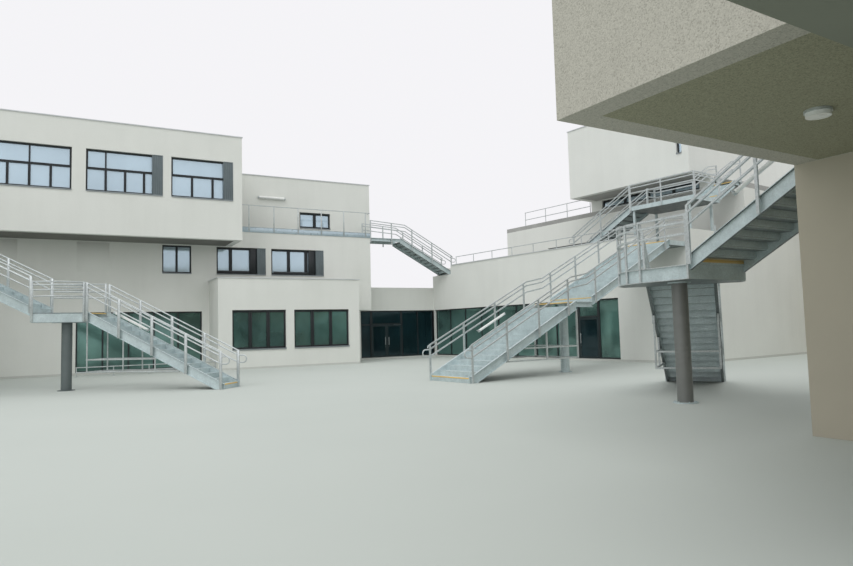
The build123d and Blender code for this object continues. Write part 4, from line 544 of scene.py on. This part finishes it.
def make_sills(name, windows):
    """A folded metal sill under each window, with its drip edge and its two end caps."""
    piece = Piece()
    for wall, left, width, (sill, _), _ in windows:
        piece.at(wall)
        lip, fold = -SILL_LIP, SILL_FOLD - SILL_LIP
        section = ((REVEAL, 0.04), (lip, 0.018), (lip, -0.03))
        section += ((fold, -0.03), (fold, 0.004), (REVEAL, 0.022))
        first, length = left + SILL_GAP, width - 2 * SILL_GAP
        piece.plate([(first, y, sill + z) for y, z in section], (length, 0, 0))
        for x in (first, first + length - SILL_CAP):
            piece.bar((x, lip, sill + 0.01), (x + SILL_CAP, REVEAL, sill + 0.06), 0.002)
    piece.done(name, sill_metal, "anthracite_frames")


def add_sash(piece, left, right, low, high, width=SASH):
    """The opening frame of one light, a little in front of the fixed one."""
    front, back = REVEAL - SASH_PROUD, REVEAL + SASH_DEPTH
    piece.bar((left, front, low), (left + width, back, high))
    piece.bar((right - width, front, low), (right, back, high))
    piece.bar((left + width, front, low), (right - width, back, low + width))
    piece.bar((left + width, front, high - width), (right - width, back, high))


def make_sashes(name, windows):
    """A sash in every light; in the box's and the smallest window only a narrow bead."""
    piece = Piece()
    for wall, _, _, (sill, head), uprights in windows:
        piece.at(wall)
        top = BOX_BAR if (sill, head) == HIGH and wall is BOX_FRONT else head - BAR / 2
        width = BEAD if top == BOX_BAR or uprights[0] == SMALL_LEFT else SASH
        for left, right in zip(uprights, uprights[1:]):
            add_sash(piece, left + BAR / 2, right - BAR / 2, sill + BAR, top - BAR / 2, width)
        if top == BOX_BAR:
            add_sash(piece, uprights[0] + BAR, uprights[-1] - BAR, top + BAR / 2, head - BAR, width)
    piece.done(name, frame_coat, "anthracite_frames")


def make_uprights(name, windows):
    """The bars that split the hidden sides' wide windows, with a sash in every other light."""
    piece = Piece()
    for wall, left, width, (sill, head), uprights in windows:
        piece.at(wall)
        for x in uprights[1:-1]:
            piece.bar((x - BAR / 2, REVEAL, sill + BAR), (x + BAR / 2, FRAME_BACK, head - BAR))
        for index in (0, 2):
            first = uprights[index] + (BAR if index == 0 else BAR / 2)
            add_sash(piece, first, uprights[index + 1] - BAR / 2, sill + BAR, head - BAR)
    piece.done(name, frame_coat, "anthracite_frames")


make_sills("left_window_sills", left_windows + box_windows + left_hidden)
make_sills("right_window_sills", right_windows + right_hidden + [cantilever_window])
make_sills("front_window_sills", front_hidden)
make_sashes("left_window_sashes", left_windows + box_windows)
make_sashes("right_window_sashes", right_windows)
make_uprights("left_rear_uprights", left_hidden)
make_uprights("right_rear_uprights", right_hidden)
make_uprights("front_outer_uprights", front_hidden)


def make_closing_panels():
    """Rendered panels, level with the wall, where the first storey has no window."""
    piece = Piece(FIRST_STOREY)
    for left in CLOSED_LEFTS:
        piece.bar((left, 0.0, MIDDLE[0]), (left + SMALL_WIDTH, PANEL_DEPTH, MIDDLE[1]), 0.0005)
    piece.done("first_storey_panels", left_coat, "light_render")


# Each shutter: wall, right edge, sill and head, and how far the dark box beside it reaches
SHUTTERS = (
    (FIRST_STOREY, -8.06, MIDDLE, 1.82),
    (FIRST_STOREY, -4.72, MIDDLE, 2.13),
    (BOX_FRONT, -13.63, HIGH, None),
    (BOX_FRONT, -10.32, HIGH, None),
    (BOX_FRONT, -21.33, HIGH, None),
)
SHUTTER, STILE, STILE_PROUD = 0.47, 0.04, 0.014
SLAT, SLAT_PROUD, SLATS = 0.012, 0.009, 4
POCKET = 0.40


def make_shutters():
    """Frames and slats of the sliding shutters, and the dark pockets and boxes beside them."""
    slats, pockets = Piece(), Piece()
    for wall, right, (sill, head), span in SHUTTERS:
        slats.at(wall)
        left = right - SHUTTER
        for x in (left, right - STILE):
            slats.bar((x, -STILE_PROUD, sill), (x + STILE, 0.0, head))
        for z in (sill, head - STILE):
            slats.bar((left + STILE, -STILE_PROUD, z), (right - STILE, 0.0, z + STILE))
        for index in range(1, SLATS):
            x = left + STILE + (SHUTTER - 2 * STILE) * index / SLATS
            slats.bar((x - SLAT, -SLAT_PROUD, sill + STILE), (x + SLAT, 0.0, head - STILE))
        if span:
            pockets.at(wall)
            pockets.bar((left - POCKET, 0.04, sill + 0.02), (left - 0.005, REVEAL, head), 0.01)
            end = left - span - 0.3
            pockets.bar((end, 0.05, sill + 0.05), (left - POCKET, REVEAL, sill + 0.2))
    slats.done("shutter_slats", shutter_coat, "grey_shutters")
    pockets.done("shutter_pockets", frame_coat, "anthracite_frames")


make_closing_panels()
make_shutters()


LEAF, LOCK_HEIGHT = 0.06, 0.74
PULL_LOW, PULL_HIGH, PULL_REACH, PULL_FOOT = 0.85, 1.35, 0.05, 0.07


def make_door_furniture(name, body, wall, handle):
    """A pull bar and a lock plate on each face of the leaf."""
    piece = Piece(wall)
    outer, inner = REVEAL, REVEAL + LEAF
    for face, side in ((outer, -1), (inner, 1)):
        line = face + side * PULL_REACH
        piece.tube([(handle, line, PULL_LOW), (handle, line, PULL_HIGH)], 0.014, 12)
        for z in (PULL_LOW + PULL_FOOT, PULL_HIGH - PULL_FOOT):
            piece.tube([(handle, line, z), (handle, face, z)], 0.009, 10)
        piece.disc((handle, face + side * 0.004, LOCK_HEIGHT), 0.02, 0.006, 12)
    piece.done(name, rail_steel, "door_leaves", body)


make_door_furniture("left_leaf_handles", "entrance_left_door", SET_BACK, -0.12)
make_door_furniture("right_leaf_handles", "entrance_right_door", SET_BACK, 0.12)
make_door_furniture("side_leaf_handles", "side_door", RIGHT_FRONT, 12.18)


# Railings, edges and lamps of the terraces
TUBE = 0.0225
POST = 0.03
TOP_RAIL, MIDDLE_RAIL, LOW_RAIL = 1.05, 0.90, 0.66


def add_fence(piece, start, end, foot, top, bars, pitch=1.6):
    """Round posts on small plates, with bars between them."""
    (x, y), (next_x, next_y) = start, end
    length = hypot(next_x - x, next_y - y)
    count = max(2, round(length / pitch) + 1)
    for height in bars:
        piece.tube([(x, y, foot + height - TUBE), (next_x, next_y, foot + height - TUBE)], TUBE)
    for index in range(count):
        share = (POST + (length - 2 * POST) * index / (count - 1)) / length
        place = (x + (next_x - x) * share, y + (next_y - y) * share)
        piece.tube([(*place, foot), (*place, foot + top - TUBE)], TUBE * 0.95)
        piece.disc((*place, foot), 0.055, 0.012, 12)


def make_terrace_fences():
    """The fences of both terraces, of the low roof and before the left wing's glazing."""
    piece = Piece()
    line, right, left = -1.80, -1.80, -9.82
    for index in range(6):
        x = -8.97 + index * 1.378
        piece.bar((x - POST, line - 0.012, 7.34), (x + POST, line + 0.018, 8.78), 0.004)
    piece.tube([(left, line, 8.78), (right, line, 8.78), (right, -1.40, 8.78)], TUBE)
    piece.tube([(left, line + 0.03, 7.58), (right, line + 0.03, 7.58)], TUBE)
    piece.at(RIGHT)
    add_fence(piece, (0.175, 16.25), (0.175, 2.70), 5.79, 0.5, (0.5,))
    add_fence(piece, (4.95, 14.8), (4.95, 9.35), 8.30, 0.95, (0.95, 0.475))
    piece.at(SITE)
    add_fence(piece, (-17.22, -3.60), (-11.08, -3.60), 0.0, 0.45, (0.45, 0.225))
    piece.done("terrace_fences", rail_steel, "galvanised_steel", stands_for=("terrace_rails",))


def make_terrace_edge():
    """The sheet upstand along the edge of the left terrace."""
    piece = Piece()
    piece.bar((-9.865, -1.785, 7.30), (-1.76, -1.74, 7.55), 0.008)
    piece.bar((-9.865, -1.785, 7.54), (-1.76, -1.42, 7.56), 0.006)
    piece.bar((-9.865, -1.45, 7.335), (-1.76, -1.42, 7.55), 0.006)
    for x in (-7.9, -5.9, -3.9):
        piece.bar((x, -1.79, 7.30), (x + 0.05, -1.783, 7.56), 0.002)
    piece.done("terrace_edge_sheet", flashing, "metal_copings")


def make_wall_lamps():
    """Tube lamps on the set-back wall and beside three flights, and the round one in the soffit."""
    covers, brackets = Piece(SET_BACK), Piece(SET_BACK)
    covers.tube([(-8.05, -0.09, 9.6), (-6.5, -0.09, 9.6)], 0.075, 16)
    for x in (-8.07, -6.54):
        brackets.tube([(x, -0.09, 9.6), (x + 0.06, -0.09, 9.6)], 0.08, 16)
        brackets.bar((x + 0.01, -0.09, 9.56), (x + 0.05, 0.0, 9.64))
    covers.at(FRONT).disc((-2.32, -1.6, 3.975), 0.13, 0.05, 32)
    brackets.at(FRONT).disc((-2.32, -1.6, 4.02), 0.145, 0.03, 32)
    for place, path in STAIR_LAMPS:
        covers.at(place).tube(path, 0.045, 14)
        brackets.at(place)
        for (x, y, z), (other_x, _, other_z) in (path, path[::-1]):
            share = 0.06 / hypot(other_x - x, other_z - z)
            near = (x + (other_x - x) * share, y, z + (other_z - z) * share)
            brackets.tube([(x, y, z), near], 0.05, 14)
            outward = 0.16 if y > 0 else -0.16
            brackets.tube([near, (near[0], y + outward, near[2])], 0.012)
    covers.done("lamp_covers", lamp_cover, "metal_copings")
    brackets.done("lamp_brackets", rail_steel, "galvanised_steel")


# Stairs: x runs up the flight from its first riser, y to its left
RISER, GOING, STEPS = 0.1625, 0.337, 16
MAIN = turned(RIGHT, -12.15, 1.325, 0, 0)
BRIDGE = turned(SITE, 3.85, -1.15, 5.2, 180)
ROOF = turned(RIGHT, 1.30, 7.00, 5.2, -90)
LAST = turned(RIGHT, 2.60, 0.67, 7.3, 0)
UP = turned(FRONT, 2.47, 3.10, 2.9, -90)
DOWN_TURN = 36.6
ROUND_CENTRE = SITE.inverted() @ FRONT @ Vector((2.84, 4.37, 0))
DOWN_FOOT = ROUND_CENTRE + Vector((cos(radians(DOWN_TURN)), sin(radians(DOWN_TURN)), 0)) * 4.83
DOWN = turned(SITE, DOWN_FOOT.x, DOWN_FOOT.y, 0, DOWN_TURN + 180)
LEFT_LOW = turned(SITE, -12.858, -15.342, 0, 138.55)
LEFT_HIGH = turned(SITE, -18.289, -11.941, 2.6, 148)
LEFT_WIDTH = 0.92
CHANNEL, WEB, DEPTH, OVER = 0.07, 0.015, 0.33, 0.05
PLATE = 0.03
COLUMN, BASE, BASE_PLATE = 0.165, 0.27, 0.02
BOLT, BOLT_RING, BOLTS = 0.018, 0.215, 6
NOSING_PROUD, NOSING_DROP, NOSING_BACK = 0.004, 0.035, 0.055
RETURN = 0.16
STAIR_LAMPS = (
    (LEFT_LOW, [(2.75, 0.40, 1.95), (4.05, 0.40, 1.95 + 1.3 * RISER / GOING)]),
    (MAIN, [(2.1, 0.97, 1.62), (3.4, 0.97, 1.62 + 1.3 * RISER / GOING)]),
    (UP, [(0.95, -0.76, 1.28), (1.95, -0.76, 1.28 + 1.0 * 0.16 / 0.28)]),
)
# Each flight: its frame, its start along it and up, risers, riser, going and width
FLIGHTS = (
    (MAIN, 0, 0, STEPS, RISER, GOING, 2.05),
    (MAIN, 5.925, 2.6, STEPS, RISER, GOING, 2.05),
    (BRIDGE, 0, 0, 13, 0.16385, 0.30, 1.06),
    (ROOF, 0, 0, 13, 0.16154, 0.30, 1.20),
    (LAST, 0, 0, 6, 0.16667, 0.30, 1.0),
    (UP, 0, 0, 10, 0.16, 0.28, 1.72),
    (DOWN, 0, 0, 17, 0.17059, 0.28, 1.42),
    (LEFT_LOW, 0, 0, STEPS, RISER, GOING, LEFT_WIDTH),
    (LEFT_HIGH, 0, 0, STEPS, RISER, GOING, LEFT_WIDTH),
)


def make_step_edges():
    """The painted edge of the first step and of the landing at the top of each flight."""
    piece = Piece()
    for place, x, z, risers, riser, going, width in FLIGHTS:
        piece.at(place)
        half = width / 2 - 0.015
        edges = [] if place is LEFT_HIGH else [(x, z + riser)]
        edges.append((x + (risers - 1) * going, z + risers * riser))
        for front, top in edges:
            low = (front - NOSING_PROUD, -half, top - NOSING_DROP)
            piece.bar(low, (front + NOSING_BACK, half, top + NOSING_PROUD), 0.002)
    piece.at(UP).bar((0.032, -0.84, 0.05), (0.037, 0.84, 0.115), 0.002)
    piece.done("step_edge_strips", nosing_paint, "galvanised_steel")


def rounded_end(x, y, low, high):
    """A half circle that joins two bars past a flight's first post."""
    middle, reach = (low + high) / 2, (high - low) / 2
    bend = [
        (x - RETURN - reach * sin(angle), y, middle - reach * cos(angle))
        for angle in (pi * step / 8 for step in range(9))
    ]
    return [(x + 0.02, y, low), *bend, (x + 0.02, y, high)]


def make_rail_returns():
    """Rounded ends that join the two lower bars past the first post of a flight."""
    piece = Piece()
    for place, x, z, _, riser, going, width in (FLIGHTS[0], FLIGHTS[2], FLIGHTS[3], FLIGHTS[6]):
        piece.at(place)
        for side in (-1, 1):
            y = side * (width / 2 + CHANNEL + TUBE)
            low, high = z + riser + LOW_RAIL - TUBE, z + riser + MIDDLE_RAIL - TUBE
            piece.tube(rounded_end(x, y, low, high), TUBE)
            top = z + riser + TOP_RAIL - TUBE
            drop = [(x + 0.02, y, top), (x - 0.05, y, top - 0.03), (x - 0.07, y, top - 0.1)]
            piece.tube(drop, TUBE)
    piece.done("rail_returns", rail_steel, "galvanised_steel")


def add_channel(piece, top_line, y, side, on_ground=False):
    """A stringer or a landing's edge: web and two flanges along its upper edge."""
    (x, z), (end_x, end_z) = top_line
    slope = (end_z - z) / (end_x - x)
    web = [(x, z), (end_x, end_z), (end_x, end_z - DEPTH)]
    low = (x, z - DEPTH)
    if on_ground:
        low = (x + (DEPTH - z) / slope, 0)
        web += [low, (x, 0)]
    else:
        web.append(low)
    piece.plate([(a, y, b) for a, b in web], (0, side * WEB, 0))
    for first, depth in (((x, z), -WEB), (low, WEB)):
        last_z = end_z if depth < 0 else end_z - DEPTH
        section = [first, (end_x, last_z), (end_x, last_z + depth), (first[0], first[1] + depth)]
        piece.plate([(a, y, b) for a, b in section], (0, side * CHANNEL, 0))


def add_steps(piece, width):
    """Folded plate steps between the stringers."""
    for index in range(STEPS - 1):
        x, z = index * GOING, index * RISER
        top, back = z + RISER, x + GOING
        inner, under = x + PLATE, top - PLATE
        section = [(x, z), (inner, z), (inner, under), (back, under), (back, top), (x, top)]
        piece.plate([(a, -width / 2, b) for a, b in section], (0, width, 0))


LANDING = ((-17.06, -12.34), (-18.57, -12.39), (-18.008, -11.491), (-16.358, -11.546))
LANDING_TOP = 2.6
LANDING_BARS = (1.05, 0.94, 0.78, 0.57)
LANDING_COLUMN = (-17.55, -12.0)
UNDER_BARS = (1.03, 0.62)
LEFT_RUN = GOING * (STEPS - 1)
BRIDGE_MIDDLE, BRIDGE_SKEW = 6.027, 0.625


def make_left_stair():
    """The left stair: two narrow flights, with a landing on one column where it turns."""
    piece = Piece()
    half, outer = LEFT_WIDTH / 2, LEFT_WIDTH / 2 + CHANNEL
    slope = RISER / GOING
    start_z = RISER + OVER
    for place in (LEFT_LOW, LEFT_HIGH):
        piece.at(place)
        add_steps(piece, LEFT_WIDTH)
        first = -0.06 if place is LEFT_LOW else 0.0
        line = ((first, start_z + first * slope), (LEFT_RUN, start_z + LEFT_RUN * slope))
        for side in (-1, 1):
            add_channel(piece, line, side * half, side, place is LEFT_LOW)
    top = STEPS * RISER
    for side in (-1, 1):
        end = BRIDGE_MIDDLE - BRIDGE_SKEW * side * outer
        add_channel(piece, ((LEFT_RUN, top + OVER), (end, top + OVER)), side * half, side)
    floor = [
        (LEFT_RUN, -half, top - PLATE),
        (BRIDGE_MIDDLE + BRIDGE_SKEW * half, -half, top - PLATE),
        (BRIDGE_MIDDLE - BRIDGE_SKEW * half, half, top - PLATE),
        (LEFT_RUN, half, top - PLATE),
    ]
    piece.plate(floor, (0, 0, PLATE))
    piece.at(SITE)
    piece.plate([(x, y, LANDING_TOP - PLATE) for x, y in LANDING], (0, 0, PLATE))
    for index in (0, 2):
        (x, y), (next_x, next_y) = LANDING[index], LANDING[index + 1]
        edge = turned(SITE, x, y, 0, degrees(atan2(next_y - y, next_x - x)))
        top_line = ((0, LANDING_TOP + 0.01), (hypot(next_x - x, next_y - y), LANDING_TOP + 0.01))
        add_channel(piece.at(edge), top_line, 0, -1)
    head = LANDING_TOP - 2 * PLATE
    piece.at(SITE).bar((-17.85, -12.3, head), (-17.25, -11.7, LANDING_TOP - PLATE))
    piece.done("left_stair_steel", steel, "galvanised_steel", stands_for=("left_stair",))
    column = Piece()
    column.disc((*LANDING_COLUMN, 0), COLUMN, head, 32)
    column.disc((*LANDING_COLUMN, 0), BASE, BASE_PLATE, 32)
    column.done("left_stair_column", column_paint, "galvanised_steel")


def bowed(start, end, z, bulge):
    """Points of a bar that bows outward between two posts."""
    first, last = Vector((*start, z)), Vector((*end, z))
    run = last - first
    out = Vector((run.y, -run.x, 0)).normalized() * -bulge
    shares = [index / 12 for index in range(13)]
    return [tuple(first + run * share + out * 4 * share * (1 - share)) for share in shares]


def make_left_rails():
    """The left stair's rails, the barrier under its lower flight and the bowed landing rails."""
    piece = Piece()
    slope = RISER / GOING
    line = LEFT_WIDTH / 2 + CHANNEL + TUBE
    for place in (LEFT_LOW, LEFT_HIGH):
        low = place is LEFT_LOW
        piece.at(place)
        for side in (-1, 1):
            y = side * line
            end = LEFT_RUN - 0.02 if low else BRIDGE_MIDDLE - BRIDGE_SKEW * y - 0.03

            def over(x, height):
                return RISER + min(x, LEFT_RUN) * slope + height

            posts = [0.03 + (end - 0.06) * part / 4 for part in range(5)]
            for x in posts:
                foot = max(over(x, -0.27), 0.0)
                piece.bar((x - 0.045, y - TUBE, foot), (x + 0.045, y + TUBE, over(x, 1.03)), 0.004)
            for height in (TOP_RAIL, MIDDLE_RAIL, LOW_RAIL):
                path = [(0.0, y, over(0, height - TUBE))]
                if not low:
                    path.append((LEFT_RUN, y, over(LEFT_RUN, height - TUBE)))
                path.append((end, y, over(end, height - TUBE)))
                piece.tube(path, TUBE)
            if low:
                base, crown = over(0, LOW_RAIL - TUBE), over(0, MIDDLE_RAIL - TUBE)
                piece.tube(rounded_end(0, y, base, crown), TUBE)
                under = [(bar + DEPTH - OVER - RISER) / slope for bar in UNDER_BARS]
                inside = y - side * (CHANNEL / 2 + TUBE)
                for bar, x in zip(UNDER_BARS, under):
                    piece.tube([(x, inside, bar - TUBE), (LEFT_RUN, inside, bar - TUBE)], TUBE)
                for x in (under[1] + 0.9, under[1] + 2.1, LEFT_RUN - 0.03):
                    top = RISER + x * slope + OVER - DEPTH
                    piece.tube([(x, inside, 0.58), (x, inside, top)], TUBE)
        if low:
            reach = line - 0.06
            for bar in UNDER_BARS:
                piece.tube([(LEFT_RUN, -reach, bar - TUBE), (LEFT_RUN, reach, bar - TUBE)], TUBE)
    piece.at(SITE)
    near, far = LANDING[:2], LANDING[2:]
    for ends, bulge in ((near, 0.28), (far, 0.06)):
        for height in LANDING_BARS:
            piece.tube(bowed(*ends, LANDING_TOP + height - TUBE, bulge), TUBE)
        for x, y in ends:
            foot = (x - 0.04, y - 0.04, LANDING_TOP - 0.3)
            piece.bar(foot, (x + 0.04, y + 0.04, LANDING_TOP + TOP_RAIL), 0.006)
    piece.done(
        "left_stair_railing", rail_steel, "galvanised_steel", stands_for=("left_stair_rails",)
    )


def make_bases():
    """Foot and head plates of the columns, with their bolts."""
    piece = Piece()
    column = SITE.inverted() @ FRONT @ Vector((2.18, 3.87, 0))
    middle = SITE.inverted() @ MAIN @ Vector((5.50, 0, 0))
    for x, y, head in ((column.x, column.y, 2.6), (middle.x, middle.y, 2.57)):
        piece.disc((x, y, 0), 0.26, BASE_PLATE, 32)
        piece.disc((x, y, head - PLATE), 0.24, PLATE, 32)
        for step in range(BOLTS):
            angle = 2 * pi * step / BOLTS
            bolt = (x + BOLT_RING * cos(angle), y + BOLT_RING * sin(angle), BASE_PLATE)
            piece.disc(bolt, BOLT, 0.02, 6)
    piece.done("column_plates", steel, "galvanised_steel")


def make_landing_flange():
    """The flanges of the channel round the round landing's edge."""
    piece = Piece(SITE)
    centre = SITE @ ROUND_CENTRE
    inner, outer = 1.28, 1.345
    for foot, thick in ((2.60, 0.02), (2.885, 0.018)):
        for start, span in ((111.0, 71.0), (-62.5, 24.7)):
            ray = Vector((cos(radians(start)), sin(radians(start)), 0))
            section = ((inner, foot), (outer, foot), (outer, foot + thick), (inner, foot + thick))
            corners = [
                piece.shape.verts.new(SITE @ (ROUND_CENTRE + ray * reach + Vector((0, 0, z))))
                for reach, z in section
            ]
            face = piece.shape.faces.new(corners)
            bmesh.ops.spin(
                piece.shape,
                geom=[face, *face.edges, *corners],
                cent=centre,
                axis=(0, 0, 1),
                angle=radians(span),
                steps=16,
                use_merge=False,
            )
        piece.at(FRONT).bar((1.495, 3.10, foot), (1.56, 4.37, foot + thick), 0.003)
    piece.done("round_landing_flange", rail_steel, "galvanised_steel")


make_terrace_fences()
make_terrace_edge()
make_wall_lamps()
make_step_edges()
make_rail_returns()
make_left_stair()
make_left_rails()
make_bases()
make_landing_flange()


# Floor, light and camera
def make_floor():
    """A wide pale floor, far larger than the building."""
    shape = bmesh.new()
    bmesh.ops.create_grid(shape, x_segments=2, y_segments=2, size=400)
    mesh = bpy.data.meshes.new("studio_floor")
    shape.to_mesh(mesh)
    shape.free()
    floor = bpy.data.objects.new("studio_floor", mesh)
    bpy.context.collection.objects.link(floor)
    finish = Finish("pale_floor", 0.9)
    clouds = finish.clouds(0.15, 4)
    finish.colour(finish.ramp(clouds, (0.3, (0.5, 0.54, 0.505)), (0.7, (0.55, 0.585, 0.55))))
    mesh.materials.append(finish.material)


def make_light():
    """Even light from all sides with a soft sun, and a nearly white backdrop behind."""
    world = bpy.data.worlds.new("studio")
    bpy.context.scene.world = world
    world.use_nodes = True
    tree = world.node_tree
    tree.nodes.clear()
    output = tree.nodes.new("ShaderNodeOutputWorld")
    light = tree.nodes.new("ShaderNodeBackground")
    backdrop = tree.nodes.new("ShaderNodeBackground")
    light.inputs["Color"].default_value = (0.98, 0.99, 1.0, 1)
    light.inputs["Strength"].default_value = 0.95
    backdrop.inputs["Color"].default_value = (0.91, 0.905, 0.93, 1)
    rays = tree.nodes.new("ShaderNodeLightPath")
    seen = rays.outputs["Is Camera Ray"]
    for ray in ("Is Glossy Ray", "Is Transmission Ray"):
        either = tree.nodes.new("ShaderNodeMath")
        either.operation = "MAXIMUM"
        tree.links.new(seen, either.inputs[0])
        tree.links.new(rays.outputs[ray], either.inputs[1])
        seen = either.outputs[0]
    blend = tree.nodes.new("ShaderNodeMixShader")
    tree.links.new(seen, blend.inputs["Fac"])
    tree.links.new(light.outputs[0], blend.inputs[1])
    tree.links.new(backdrop.outputs[0], blend.inputs[2])
    tree.links.new(blend.outputs[0], output.inputs["Surface"])
    sun = bpy.data.lights.new("soft_daylight", "SUN")
    sun.energy = 0.9
    sun.angle = radians(35)
    lamp = bpy.data.objects.new("soft_daylight", sun)
    lamp.rotation_euler = Vector((0.62, 0.55, -1.0)).to_track_quat("-Z", "Y").to_euler()
    bpy.context.collection.objects.link(lamp)


def make_camera():
    """A camera at a standing person's eye height, tilted up a little and rolled slightly."""
    heading, pitch, roll = atan2(0.8763, 0.4818), radians(4.166), radians(-1.519)
    ahead = Vector((cos(heading) * cos(pitch), sin(heading) * cos(pitch), sin(pitch)))
    side = Vector((sin(heading), -cos(heading), 0))
    top = side.cross(ahead)
    turned_side = side * cos(roll) + top * sin(roll)
    turned_top = top * cos(roll) - side * sin(roll)
    data = bpy.data.cameras.new("courtyard_camera")
    data.lens = 27.43
    data.sensor_width = 36
    data.sensor_fit = "HORIZONTAL"
    data.clip_start = 0.05
    data.clip_end = 1000
    camera = bpy.data.objects.new("courtyard_camera", data)
    turn = Matrix((turned_side, turned_top, -ahead)).transposed().to_4x4()
    camera.matrix_world = Matrix.Translation((-8.735, -18.575, 0.85)) @ turn
    bpy.context.collection.objects.link(camera)
    bpy.context.scene.camera = camera


make_floor()
make_light()
make_camera()
bpy.context.scene.view_settings.view_transform = "Standard"
